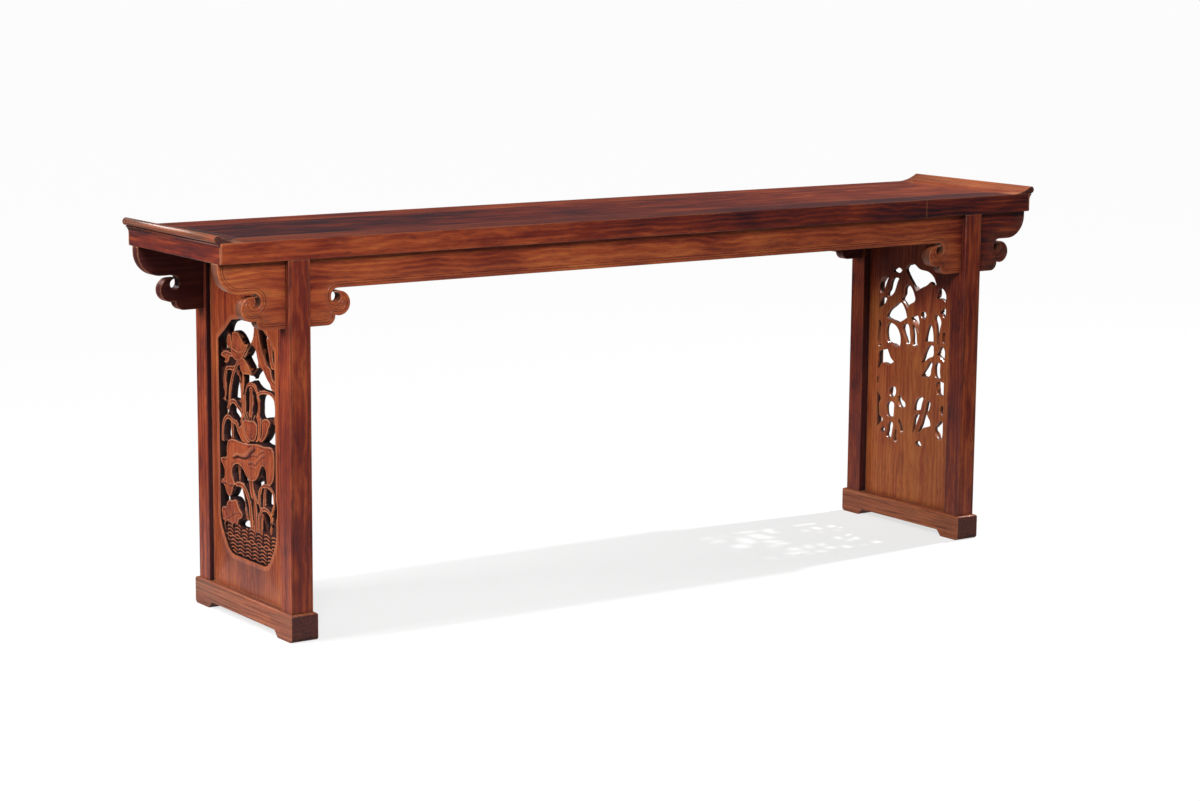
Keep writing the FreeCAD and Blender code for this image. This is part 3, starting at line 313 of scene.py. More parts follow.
def wear_and_shading(t, streak, unpolished_and_shaded, seam, worn_and_sheen_above, carved, worked_axis):
    """How much a surface is paled by rubbing and painted highlights, and darkened by dirt and painted
    shade.
    """
    # Corners that the outward ray test finds are darkened: dirt, and painted shade.
    grime_and_shade = 1.0 - openness(t, CORNER_REACH, False).between(*OPEN_CORNER)
    # Arrises that the inward ray test finds are paled: wear, and painted highlights.
    arris = 1.0 - openness(t, ARRIS_REACH, True).between(*OPEN_ARRIS)
    wear_and_highlight = arris * t.stretched(7.0, 30.0).between(*WORN_AND_HIGHLIGHT_PATCH)
    if worn_and_sheen_above:
        # Above this height the colour is painted paler: rubbing, and painted sheen.
        rubbed_and_sheen = t.part(t.spot, 2).between(worn_and_sheen_above, worn_and_sheen_above + RUB_AND_SHEEN_SLOPE) * (1.0 - unpolished_and_shaded)
        wear_and_highlight = wear_and_highlight.maths("MAXIMUM", rubbed_and_sheen * (streak * RUB_AND_SHEEN_STREAKS - RUB_AND_SHEEN_GAPS))
        grime_and_shade = grime_and_shade * (1.0 - rubbed_and_sheen * RUB_AND_SHEEN_LIGHTENS)
    if seam:
        hairline = 1.0 - (t.along - seam).maths("ABSOLUTE").between(SEAM_HALF, SEAM_EDGE)
        wear_and_highlight = wear_and_highlight.maths("MAXIMUM", hairline)
    if carved:
        # A carved face's hollow paints deep places and sawn walls dark, as shade and dirt, and crests pale,
        # as highlights and wear.
        hollow = t.node("ShaderNodeAttribute", {"attribute_name": "hollow"}, out="Fac")
        flat = t.facing(worked_axis).between(*FLAT_FACE)
        depth = (hollow + carved - flat * carved).maths("MAXIMUM", 0.0)
        grime_and_shade = (grime_and_shade * CARVED_CORNERS + depth).maths("MINIMUM", GRIME_AND_SHADE_MOST)
        wear_and_highlight = wear_and_highlight * CARVED_ARRISES + (hollow * -CARVED_CRESTS).maths("MAXIMUM", 0.0)
    return wear_and_highlight, grime_and_shade


# Dirt and painted shade darken the wood within this reach of a corner.
print("grime gathers within", round(CORNER_REACH / MM), "mm of a corner")

# %% Wood
# The axis that the worked face of a board looks along, by its grain.
WORKED_AXES = {"X": 1, "Z": 0}
# How much pores, end grain and faces painted in shade, wear and painted highlights, and grime and
# painted shade show at most.
PORE_SHARE, END_SHARE, WEAR_AND_HIGHLIGHT_SHARE, GRIME_AND_SHADE_SHARE = 0.45, 0.80, 0.50, 0.80
# Each pair is again where a mask begins and where it is full.
PORES, CRACKS, STAINS = (0.60, 0.70), (0.56, 0.66), (0.56, 0.72)
END_FACE, SHADED_FACE = (0.6, 0.95), (0.5, 0.9)


def wood(name, grain, heart, tone, light_fade=0.0, side=0.0, shaded_past=None, gloss=0.36, coat=0.08, shaded_facing=None,
         shaded_share=0.80, cracks=0.0, stains=0.25, seam=None, worn_and_sheen_above=None, carved=0.0):
    """A polished hardwood finish.

    tone is the mean place on the colour ramp, light_fade its change for each metre of grain, which
    paints light and shade falling off along the piece, side its change on faces along X, which
    paints light on those faces, and shaded_past the place along the grain past which the piece is
    painted in shade. gloss is the roughness and coat the strength of the polish. shaded_facing is a
    direction whose faces are painted dark as shade, and shaded_share how dark they are. cracks and
    stains are the strength of the open grain and of dark patches, seam the place of a pale hairline
    across the grain, worn_and_sheen_above the height above which the colour is paler from rubbing
    and from painted sheen, and carved how dark the carved and sawn faces are painted, as shade and
    dirt.
    """
    t = Timber(name, grain, heart)
    patterns = t.patterns()
    colour = toned(t, patterns, tone, light_fade, side, shaded_past)
    pore = t.stretched(42.0, 620.0, 1.0).between(*PORES)
    if cracks:
        pore = pore.maths("MAXIMUM", t.stretched(8.0, 330.0, 2.0, 0.6).between(*CRACKS) * cracks)
    stain = t.stretched(11.0, 34.0, 4.0, 0.65).between(*STAINS) * stains
    colour = t.blend(pore * PORE_SHARE + stain, colour, (*DEEP, 1.0))
    unpolished_and_shaded = t.end_facing.between(*END_FACE) * END_SHARE
    # Faces along the shaded direction are painted near black as shade, on top of the real dark of end
    # grain.
    if shaded_facing:
        facing = t.node("ShaderNodeVectorMath", {"operation": "DOT_PRODUCT"}, {0: t.normal, 1: shaded_facing},
                        out="Value")
        unpolished_and_shaded = unpolished_and_shaded.maths("MAXIMUM", facing.between(*SHADED_FACE) * shaded_share)
    colour = t.blend(unpolished_and_shaded, colour, (*DEEP, 1.0))
    wear_and_highlight, grime_and_shade = wear_and_shading(t, patterns["streak"], unpolished_and_shaded, seam, worn_and_sheen_above, carved, WORKED_AXES.get(grain))
    # Wear and painted highlights pale the colour.
    colour = t.blend(wear_and_highlight * WEAR_AND_HIGHLIGHT_SHARE, colour, (*WORN_AND_HIGHLIGHT, 1.0))
    # Dirt and painted shade darken the colour towards near black.
    colour = t.blend(grime_and_shade * GRIME_AND_SHADE_SHARE, colour, (*SOOT_AND_SHADE, 1.0))
    dull = gloss + (patterns["mottle"] - 0.5) * 0.16 + pore * 0.22 + grime_and_shade * 0.38 + unpolished_and_shaded * 0.15
    rough = (dull - wear_and_highlight * 0.06).maths("MAXIMUM", 0.12)
    relief = patterns["fibre"] * 0.25 + patterns["streak"] * 0.35 - pore * 0.8
    bump = t.node("ShaderNodeBump", None, {"Strength": 0.35, "Distance": 0.00035, "Height": relief},
                  out="Normal")
    surface = t.node("ShaderNodeBsdfPrincipled", None,
                     {"Base Color": colour, "Roughness": rough, "Normal": bump,
                      "Specular IOR Level": 0.20, "Coat Weight": coat, "Coat Roughness": 0.13}, out="BSDF")
    return t.shown(surface)


print("wood finish ready")

# %% [markdown]
# ## Dressing the joinery
#
# Rails, battens, legs and feet keep the meshes of the frame, because their shape is already the
# real one. Two things are added without touching those meshes: a finish for each piece, and a
# bevel modifier, because a corner that hands have rubbed for generations is never a knife edge.
# The bevel is what catches the light along every arris.

# %% Worn arrises
ARRIS = 0.7 * MM
ARRIS_TURN = 40


def dress(node, material):
    """Gives a piece of the frame its finish and its arrises, rounded over by long rubbing."""
    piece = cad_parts[node]
    for holder in piece.material_slots:
        holder.material = material
    weld = piece.modifiers.new("weld", "WELD")
    weld.merge_threshold = 0.01 * MM
    bevel = piece.modifiers.new("worn_arris", "BEVEL")
    bevel.width = ARRIS
    bevel.segments = 2
    bevel.limit_method = "ANGLE"
    bevel.angle_limit = math.radians(ARRIS_TURN)
    bevel.harden_normals = True
    print("dressed", node)


print("arrises are rounded over", round(ARRIS / MM, 1), "mm")

# %% Finishes of the top and its battens
UP, UNDER = (0.0, 0.0, 1.0), (0.0, 0.0, -1.0)
BATTENS = ("batten_far_left", "batten_left", "batten_middle", "batten_right", "batten_far_right")

# The top face of the front rail and the undersides of the panel and battens are painted dark as shade, and
# the front rail and panel get painted light that falls off along them.
dress("top_front_rail", wood("wood_front_rail", "X", (-0.26, 0.80), tone=0.365, light_fade=-0.20, seam=0.786,
                             shaded_facing=UP, shaded_share=0.5))
dress("top_rear_rail", wood("wood_rear_rail", "X", (0.30, 0.90), tone=0.42))
# The rolled ends are painted paler above the given height, from rubbing and painted sheen.
dress("top_left_end", wood("wood_left_end", "Y", (-1.05, 0.78), tone=0.19, worn_and_sheen_above=0.8605, coat=0.5,
                           gloss=0.30))
dress("top_right_end", wood("wood_right_end", "Y", (1.02, 0.80), tone=0.58, worn_and_sheen_above=0.862, coat=0.3))
dress("top_panel", wood("wood_panel", "X", (0.05, 0.70), tone=0.25, light_fade=0.15, gloss=0.42, shaded_facing=UNDER))
batten_finish = wood("wood_battens", "Y", (0.10, 0.70), tone=0.38, gloss=0.5, shaded_facing=UNDER)
for batten in BATTENS:
    dress(batten, batten_finish)

# %% Finishes of the legs and feet
# light_fade paints light falling off up each leg, side paints light on the faces along X, and the inner
# faces are painted dark as shade.
LEGS = {"leg_front_left": dict(heart=(-0.97, -0.27), tone=0.51, light_fade=-0.32, side=0.04),
        "leg_rear_left": dict(heart=(-0.90, 0.26), tone=0.36, side=0.04),
        "leg_front_right": dict(heart=(0.98, -0.12), tone=0.50, light_fade=-0.14, side=-0.10),
        "leg_rear_right": dict(heart=(0.90, 0.10), tone=0.52, light_fade=-0.06, side=-0.10)}
# A foot is paler all over, from rubbing and painted sheen, so its paler band starts below the floor.
FEET = {"foot_left": dict(heart=(-0.99, 0.10), tone=0.24),
        "foot_right": dict(heart=(0.90, 0.09), tone=0.50)}

for leg, looks in LEGS.items():
    # The inner face of each leg is painted dark, as shade.
    inner = (0.0, 1.0 if "front" in leg else -1.0, 0.0)
    dress(leg, wood(f"wood_{leg}", "Z", stains=0.7, shaded_facing=inner, **looks))
for foot, looks in FEET.items():
    dress(foot, wood(f"wood_{foot}", "Y", gloss=0.45, cracks=1.8, worn_and_sheen_above=-1.0, **looks))

# %% [markdown]
# ## A carver's tools in numbers
#
# The end boards and the aprons are flat boards with a worked face. Sculpting one by hand would
# be slow to change, and a displacement modifier would need a very dense mesh everywhere. Here a
# board is drawn in two dimensions instead: its sawn outlines, lines that the facets must follow,
# and loose points between them, joined by a constrained triangulation. A height is then worked
# out for each point of the face, and walls and a flat back close the solid.
#
# All drawings are in millimetres: across, up, and proud of a zero level.

# %% Outlines that the frame already has
TOUCH = 2e-5


def flat_outlines(node, axis, level):
    """Closed outlines, in mm, of the flat faces of a node that lie at one level of an axis."""
    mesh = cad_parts[node].data
    places = [tuple(round(c, 6) for c in vertex.co) for vertex in mesh.vertices]
    used = {}
    for face in mesh.polygons:
        ring = [places[index] for index in face.vertices]
        if all(abs(corner[axis] - level) < TOUCH for corner in ring):
            for edge in zip(ring, ring[1:] + ring[:1]):
                used.setdefault(frozenset(edge), []).append(edge)
    ahead = {edges[0][0]: edges[0][1] for edges in used.values() if len(edges) == 1}
    loops = []
    while ahead:
        start, here = ahead.popitem()
        loop = [start]
        while here != start:
            loop.append(here)
            here = ahead.pop(here)
        loops.append(np.array([[c / MM for i, c in enumerate(corner) if i != axis] for corner in loop]))
    return loops


def area(loop):
    """Area of a closed outline, positive where it runs anticlockwise."""
    after = np.roll(loop, -1, axis=0)
    return 0.5 * np.sum(loop[:, 0] * after[:, 1] - after[:, 0] * loop[:, 1])


def turned_left(loops):
    """The outlines, largest first, each running anticlockwise."""
    loops = sorted(loops, key=lambda loop: -abs(area(loop)))
    return [loop if area(loop) > 0 else loop[::-1] for loop in loops]


print("the front apron is sawn to an outline of",
      len(flat_outlines("front_apron", 1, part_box("front_apron")[0].y)[0]), "points")


# %% Smooth curves
def flowing(corners, spacing, closed=False, sharp=180, straight=1e9):
    """Evenly spaced points on a smooth curve through given points.

    Turns above the sharp angle stay corners, and stretches above the straight length stay straight.
    """
    corners = np.asarray(corners, float)
    if closed:
        corners = np.vstack([corners, corners[:1]])
    steps = np.diff(corners, axis=0)
    lengths = np.linalg.norm(steps, axis=1)
    ways = steps / lengths[:, None]
    before = np.vstack([ways[-1:] if closed else ways[:1], ways])
    after = np.vstack([ways, ways[:1] if closed else ways[-1:]])
    turn = np.degrees(np.arccos(np.clip((before * after).sum(1), -1, 1)))
    long_before = np.append(lengths[-1] if closed else 0.0, lengths) > straight
    long_after = np.append(lengths, lengths[0] if closed else 0.0) > straight
    tangent = before + after
    tangent /= np.maximum(np.linalg.norm(tangent, axis=1, keepdims=True), 1e-9)
    tangent = np.where(long_before[:, None], before, np.where(long_after[:, None], after, tangent))
    keep = (turn > sharp)[:, None]
    leaves, arrives = np.where(keep, after, tangent), np.where(keep, before, tangent)
    curve = []
    for index, length in enumerate(lengths):
        count = max(1, round(length / spacing))
        share = np.linspace(0, 1, count + 1)[:-1, None]
        start, end = corners[index], corners[index + 1]
        leave, arrive = leaves[index] * length, arrives[index + 1] * length
        curve.append((2 * share ** 3 - 3 * share ** 2 + 1) * start + (3 * share ** 2 - 2 * share ** 3) * end
                     + (share ** 3 - 2 * share ** 2 + share) * leave + (share ** 3 - share ** 2) * arrive)
    if not closed:
        curve.append(corners[-1:])
    return np.vstack(curve)


arch = flowing([(0, 0), (20, 30), (40, 0)], 1.5)
print("an arch through three points is drawn with", len(arch), "points")

# %% Distances and insides
def in_box(points, line, margin):
    """Which points lie in the box of a line, widened by a margin."""
    return np.all((points > line.min(0) - margin) & (points < line.max(0) + margin), axis=1)


def distance(points, line, margin, closed=False):
    """Distance from each point to a finely spaced line, and never more than the margin.

    A tree finds the nearest point of the line, and its two neighbours settle the exact gap.
    """
    tree = KDTree(len(line))
    for index, (across, up) in enumerate(line):
        tree.insert((across, up, 0.0), index)
    tree.balance()
    result = np.full(len(points), float(margin))
    chosen = np.flatnonzero(in_box(points, line, margin))
    near = points[chosen]
    index = np.array([tree.find((across, up, 0.0))[1] for across, up in near], int)
    best = np.full(len(near), float(margin))
    for step in (-1, 1):
        other = (index + step) % len(line) if closed else np.clip(index + step, 0, len(line) - 1)
        start = line[index]
        stretch = line[other] - start
        length = np.maximum((stretch ** 2).sum(1), 1e-12)
        share = np.clip(((near - start) * stretch).sum(1) / length, 0, 1)
        best = np.minimum(best, np.linalg.norm(near - start - share[:, None] * stretch, axis=1))
    result[chosen] = best
    return result


def inside(points, outline):
    """Which points lie inside a closed outline."""
    result = np.zeros(len(points), bool)
    chosen = np.flatnonzero(in_box(points, outline, 0))
    x, y = points[chosen].T
    odd = np.zeros(len(chosen), bool)
    for (x0, y0), (x1, y1) in zip(outline, np.roll(outline, -1, axis=0)):
        if y0 != y1:
            crosses = (y0 > y) != (y1 > y)
            odd ^= crosses & (x < (x1 - x0) * (y - y0) / (y1 - y0) + x0)
    result[chosen] = odd
    return result


square = np.array([(0.0, 0.0), (10.0, 0.0), (10.0, 10.0), (0.0, 10.0)])
print("in and out of a square:", inside(np.array([(5.0, 5.0), (15.0, 5.0)]), square))

# %% Slopes and humps
def rise(values, low, high):
    """0 below low, 1 above high, and a smooth slope between."""
    share = np.clip((values - low) / (high - low), 0, 1)
    return share * share * (3 - 2 * share)


def hump(values, middle, wide):
    """1 at the middle, fading to 0 on both sides."""
    return np.exp(-((values - middle) / wide) ** 2)


quarter = np.array([0.25])
print("a quarter of the way, a slope is at", rise(quarter, 0, 1), "and a hump at", hump(quarter, 0, 1))

# %% Triangles of a drawing
# Points that lie closer than this are one point.
JOIN = 1e-5


def triangles(points, edges, loops):
    """Points and triangles of the wood between the outer loop and its openings."""
    flat, _, faces, *_ = delaunay_2d_cdt([Vector(point) for point in points], edges, [], 0, JOIN)
    flat = np.array([tuple(point) for point in flat])
    faces = np.array(faces)
    middle = flat[faces].mean(axis=1)
    wood_there = inside(middle, loops[0])
    for opening in loops[1:]:
        wood_there &= ~inside(middle, opening)
    faces = faces[wood_there]
    kept, numbered = np.unique(faces, return_inverse=True)
    return flat[kept], numbered.reshape(faces.shape)


def drawn(loops, guides, loose):
    """The triangles of a drawing: closed outlines, open lines to follow and loose points."""
    lines = [*loops, *guides]
    edges = []
    first = 0
    for index, line in enumerate(lines):
        count = len(line)
        edges += [(first + i, first + i + 1) for i in range(count - 1)]
        if index < len(loops):
            edges.append((first + count - 1, first))
        first += count
    return triangles(np.vstack([*lines, loose]), edges, loops)


def sides(faces):
    """The three sides of every triangle, one after another."""
    return np.vstack([faces[:, [0, 1]], faces[:, [1, 2]], faces[:, [2, 0]]])


def rim_edges(faces):
    """Edges of the triangles that have wood on one side only."""
    known = {tuple(pair) for pair in sides(faces)}
    return [(a, b) for a, b in known if (b, a) not in known]


print("a square round one point has", len(drawn([square], [], np.array([(5.0, 5.0)]))[1]), "triangles")

# %% Hollows of a worked face
# How often heights are averaged over their neighbours, the gap in mm to that mean which counts
# in full, and how dark that is painted: shade in a crease, and a highlight on a crest.
CAVITY_ROUNDS = 4
CREST = 0.9
CAVITY_SHARE = 0.26


def cavity(height, faces, rim_points):
    """How hollow each point lies among its neighbours, which is less than nothing on a crest."""
    pairs = sides(faces)
    tails, heads = np.vstack([pairs, pairs[:, ::-1]]).T
    count = np.bincount(tails, minlength=len(height))
    mean = height
    for _ in range(CAVITY_ROUNDS):
        mean = np.bincount(tails, weights=mean[heads], minlength=len(height)) / count
    depth = mean - height
    # Rim points count as crests, so rims are painted pale as highlights.
    depth[rim_points] = -CREST
    return np.clip(depth / CREST, -1, 1) * CAVITY_SHARE


pit_points, pit_faces = drawn([square], [], np.array([(5.0, 5.0)]))
pit = np.where(pit_points[:, 0] == 5.0, -1.0, 0.0)
print("hollows of a square with a pit in the middle:", cavity(pit, pit_faces, []).round(2))

# %% A board with a worked face
SHARP_TURN = 38


def worked_board(name, loops, guides, loose, face_height, back_level, place, material, walls):
    """A closed solid with a worked face, sawn walls and a flat back.

    face_height gives the height and the hollow of each point of the face, and walls is the hollow
    of the sawn walls; the finish paints a positive hollow dark, as shade and dirt, and a negative
    one pale, as a highlight. place turns across, up and proud, in mm, into a point of the table.
    """
    front, front_faces = drawn(loops, guides, loose)
    height, hollow = face_height(front)
    rim = rim_edges(front_faces)
    rim_points = sorted({index for edge in rim for index in edge})
    hollow = hollow + cavity(height, front_faces, rim_points)
    order = {index: number for number, index in enumerate(rim_points)}
    back, back_faces = triangles(front[rim_points], [(order[a], order[b]) for a, b in rim], loops)
    back_of = {tuple(point): number for number, point in enumerate(back)}
    middle_first = len(front)
    back_first = middle_first + len(rim_points)
    middle_of = {index: middle_first + number for index, number in order.items()}
    behind = {index: back_first + back_of[tuple(front[index])] for index in rim_points}
    middle_height = (height[rim_points] + back_level) / 2
    solid = np.vstack([np.column_stack([front, height]),
                       np.column_stack([front[rim_points], middle_height]),
                       np.column_stack([back, np.full(len(back), back_level)])])
    faces = [tuple(face) for face in front_faces]
    faces += [tuple(face[::-1] + back_first) for face in back_faces]
    for a, b in rim:
        faces.append((b, a, middle_of[a], middle_of[b]))
        faces.append((middle_of[b], middle_of[a], behind[a], behind[b]))
    mesh = bpy.data.meshes.new(name)
    mesh.from_pydata([tuple(c * MM for c in place(*point)) for point in solid], [], faces)
    mesh.validate()
    hollows = np.concatenate([hollow, np.full(len(rim_points), walls), np.zeros(len(back))])
    mesh.attributes.new("hollow", "FLOAT", "POINT").data.foreach_set("value", hollows)
    mesh.polygons.foreach_set("use_smooth", [True] * len(mesh.polygons))
    mesh.set_sharp_from_angle(angle=math.radians(SHARP_TURN))
    mesh.materials.append(material)
    piece = bpy.data.objects.new(name, mesh)
    bpy.context.scene.collection.objects.link(piece)
    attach(piece, "root")
    open_edges = len(mesh.edges) * 2 - sum(len(face.vertices) for face in mesh.polygons)
    print(name, len(mesh.vertices), "points,", open_edges, "open edges")
    return piece


print("facets that turn by more than", SHARP_TURN, "degrees keep a crisp edge")

# %% [markdown]
# ## The lotus boards
#
# Each end of the table is closed by a board sawn into a lotus pond: a bud and an open flower,
# ribbon leaves bent over into arches, one great leaf with a rolled edge, stems, and waves at the
# foot. The frame knows which spaces are sawn right through. The rest is relief, a few
# millimetres deep, and a carver would draw it on the face, lower the ground and then round each
# form over. The same order works here. Every form is a smooth outline with a level of its own,
# painted from the farthest to the nearest, so a petal in front simply covers the one behind it.

# %% Drawing of the leaves and petals
# Level of the edge, how far the middle swells, then the outline as seen from outside the table.
PETALS = [
    (-1.6, 2.6, [(-74, 598), (-70, 615), (-66, 632), (-55, 635), (-42, 633), (-30, 625), (-15, 613),
        (4, 612), (-6, 600), (-18, 592), (-36, 588), (-58, 590)]),
    (-0.6, 2.4, [(-92, 598), (-93, 612), (-89, 622), (-80, 627), (-72, 622), (-71, 608), (-76, 598),
        (-84, 593)]),
    (0.2, 2.0, [(-74, 598), (-60, 597), (-44, 593), (-28, 594), (-14, 603), (-2, 614), (3, 606),
        (-8, 592), (-20, 580), (-34, 573), (-50, 571), (-64, 577), (-70, 586)]),
    (-0.6, 2.2, [(-122, 574), (-114, 583), (-98, 588), (-80, 587), (-64, 582), (-66, 577), (-80, 575),
        (-84, 566), (-93, 560), (-106, 561), (-101, 568), (-112, 571)]),
    (-0.8, 3.0, [(-42, 566), (-34, 577), (-20, 582), (-6, 577), (8, 567), (17, 557), (20, 548), (6, 546),
        (-12, 545), (-24, 547), (-32, 556)]),
    (-1.2, 2.6, [(88, 632), (96, 640), (108, 636), (113, 622), (117, 600), (122, 584), (130, 577),
        (113, 572), (106, 580), (102, 590), (98, 606), (92, 622)]),
    (-0.4, 2.8, [(-14, 582), (-3, 595), (8, 607), (18, 617), (28, 629), (33, 643), (37, 658), (50, 657),
        (57, 643), (62, 627), (70, 611), (78, 598), (88, 581), (98, 578), (108, 573), (112, 560),
        (119, 551), (130, 546), (130, 528), (112, 528), (102, 538), (90, 548), (80, 557), (70, 565),
        (57, 568), (48, 573), (44, 590), (39, 603), (30, 611), (19, 612), (9, 602), (0, 590)]),
    (-2.0, 2.0, [(-44, 424), (-36, 430), (-28, 428), (-21, 414), (-10, 404), (2, 398), (-8, 394),
        (-24, 395), (-36, 400), (-43, 411)]),
    (-0.8, 1.6, [(-38, 446), (-30, 450), (-24, 442), (-19, 428), (-13, 414), (-4, 405), (8, 400),
        (-2, 398), (-14, 403), (-24, 413), (-30, 428), (-34, 438)]),
    (-1.4, 2.0, [(62, 454), (64, 436), (60, 420), (50, 409), (62, 407), (74, 414), (85, 426), (93, 440),
        (100, 456), (90, 462), (74, 461)]),
    (-0.8, 1.8, [(40, 462), (45, 448), (46, 430), (42, 414), (34, 405), (44, 405), (53, 413), (58, 428),
        (60, 445), (57, 460), (48, 466)]),
    (0.0, 2.4, [(-20, 441), (-15, 425), (-8, 411), (4, 404), (18, 402), (31, 405), (40, 415), (44, 430),
        (41, 445), (28, 450), (8, 448), (-10, 448)]),
    (-0.2, 2.8, [(-101, 352), (-99, 372), (-92, 388), (-80, 394), (-62, 396), (-40, 395), (-18, 395),
        (2, 396), (22, 399), (48, 402), (72, 401), (92, 403), (108, 403), (117, 395), (121, 380),
        (122, 365), (119, 348), (115, 332), (106, 322), (95, 316), (88, 321), (84, 332), (82, 345),
        (75, 354), (65, 355), (57, 347), (50, 335), (42, 325), (30, 317), (14, 314), (0, 317),
        (-12, 325), (-24, 335), (-38, 341), (-54, 341), (-66, 336), (-75, 326), (-74, 312), (-66, 301),
        (-60, 296), (-70, 288), (-76, 276), (-82, 266), (-94, 264), (-104, 272), (-113, 284),
        (-126, 288), (-124, 297), (-113, 304), (-110, 316), (-116, 328), (-128, 338), (-128, 345),
        (-112, 349)]),
    (-0.2, 2.8, [(-126, 231), (-118, 238), (-106, 239), (-101, 249), (-92, 256), (-76, 258), (-60, 262),
        (-52, 254), (-46, 246), (-36, 240), (-30, 232), (-34, 223), (-46, 218), (-52, 207), (-62, 196),
        (-72, 194), (-84, 197), (-96, 190), (-112, 189), (-121, 200), (-124, 215)]),
]
print(len(PETALS), "leaves and petals")

# %% Drawing of the stems and ribbons
# Level, half the width, then the middle line. A ribbon is hollowed along its middle. The first
# ones lie behind the leaves and petals, and an arch and five stamens lie in front of them.
RIBBONS = [
    (-1.8, 4.5, [(-113, 470), (-112, 492), (-111, 512), (-109, 530), (-100, 546), (-86, 550), (-72, 551),
        (-58, 556)]),
    (-2.2, 3.2, [(-38, 484), (-37, 505), (-41, 524), (-47, 543), (-57, 553)]),
    (-0.8, 5.0, [(-87, 474), (-83, 502), (-76, 522), (-68, 539), (-57, 553), (-47, 566), (-38, 576)]),
    (-1.4, 4.6, [(-28, 450), (-26, 480), (-28, 505), (-27, 530), (-27, 552)]),
    (-1.0, 4.4, [(-18, 458), (-18, 485), (-16, 505), (-7, 520), (6, 527), (22, 527), (36, 520),
        (44, 508), (45, 490), (43, 468)]),
    (-1.6, 6.0, [(11, 460), (12, 490), (12, 516)]),
    (-1.2, 4.0, [(44, 509), (58, 515), (80, 518), (100, 518), (117, 511), (124, 497), (124, 475),
        (119, 456)]),
    (-0.8, 5.0, [(-95, 452), (-88, 469), (-76, 478), (-62, 478), (-49, 470), (-37, 464), (-29, 452)]),
    (-1.0, 4.8, [(-121, 384), (-121, 408), (-116, 426), (-104, 438), (-90, 441), (-76, 436), (-59, 431),
        (-47, 418), (-38, 407), (-28, 400)]),
    (-1.8, 5.2, [(-77, 392), (-77, 412), (-77, 434)]),
    (-2.0, 4.0, [(-46, 340), (-46, 318), (-47, 300)]),
    (-1.8, 3.6, [(-36, 292), (-27, 273), (-21, 254), (-14, 236), (-8, 224)]),
    (-0.8, 5.8, [(-56, 296), (-38, 298), (-21, 293), (-8, 280), (2, 262), (6, 240), (8, 215), (8, 196)]),
    (-1.0, 8.5, [(8, 318), (12, 292), (23, 264), (26, 235), (27, 200)]),
    (-0.6, 3.0, [(17, 298), (31, 281), (44, 266), (58, 260)]),
    (-1.8, 4.6, [(67, 268), (68, 290), (73, 308)]),
    (-0.8, 4.2, [(47, 270), (45, 285), (49, 299), (58, 309), (73, 314), (90, 314), (104, 308),
        (113, 297), (114, 283), (110, 268), (104, 258)]),
    (-1.8, 4.0, [(54, 206), (54, 228), (59, 246)]),
    (-1.8, 3.6, [(97, 214), (98, 232), (98, 250)]),
]
FRONT_RIBBONS = [
    (-0.6, 4.6, [(45, 204), (43, 228), (48, 246), (58, 258), (73, 262), (90, 258), (101, 248),
        (103, 236)]),
    (-0.4, 1.8, [(-12, 446), (-22, 458)]),
    (-0.4, 1.8, [(-4, 447), (-8, 464)]),
    (-0.4, 1.8, [(5, 447), (5, 468)]),
    (-0.4, 1.8, [(14, 448), (18, 466)]),
    (-0.4, 1.8, [(24, 449), (31, 461)]),
]
print(len(RIBBONS + FRONT_RIBBONS), "stems and ribbons")

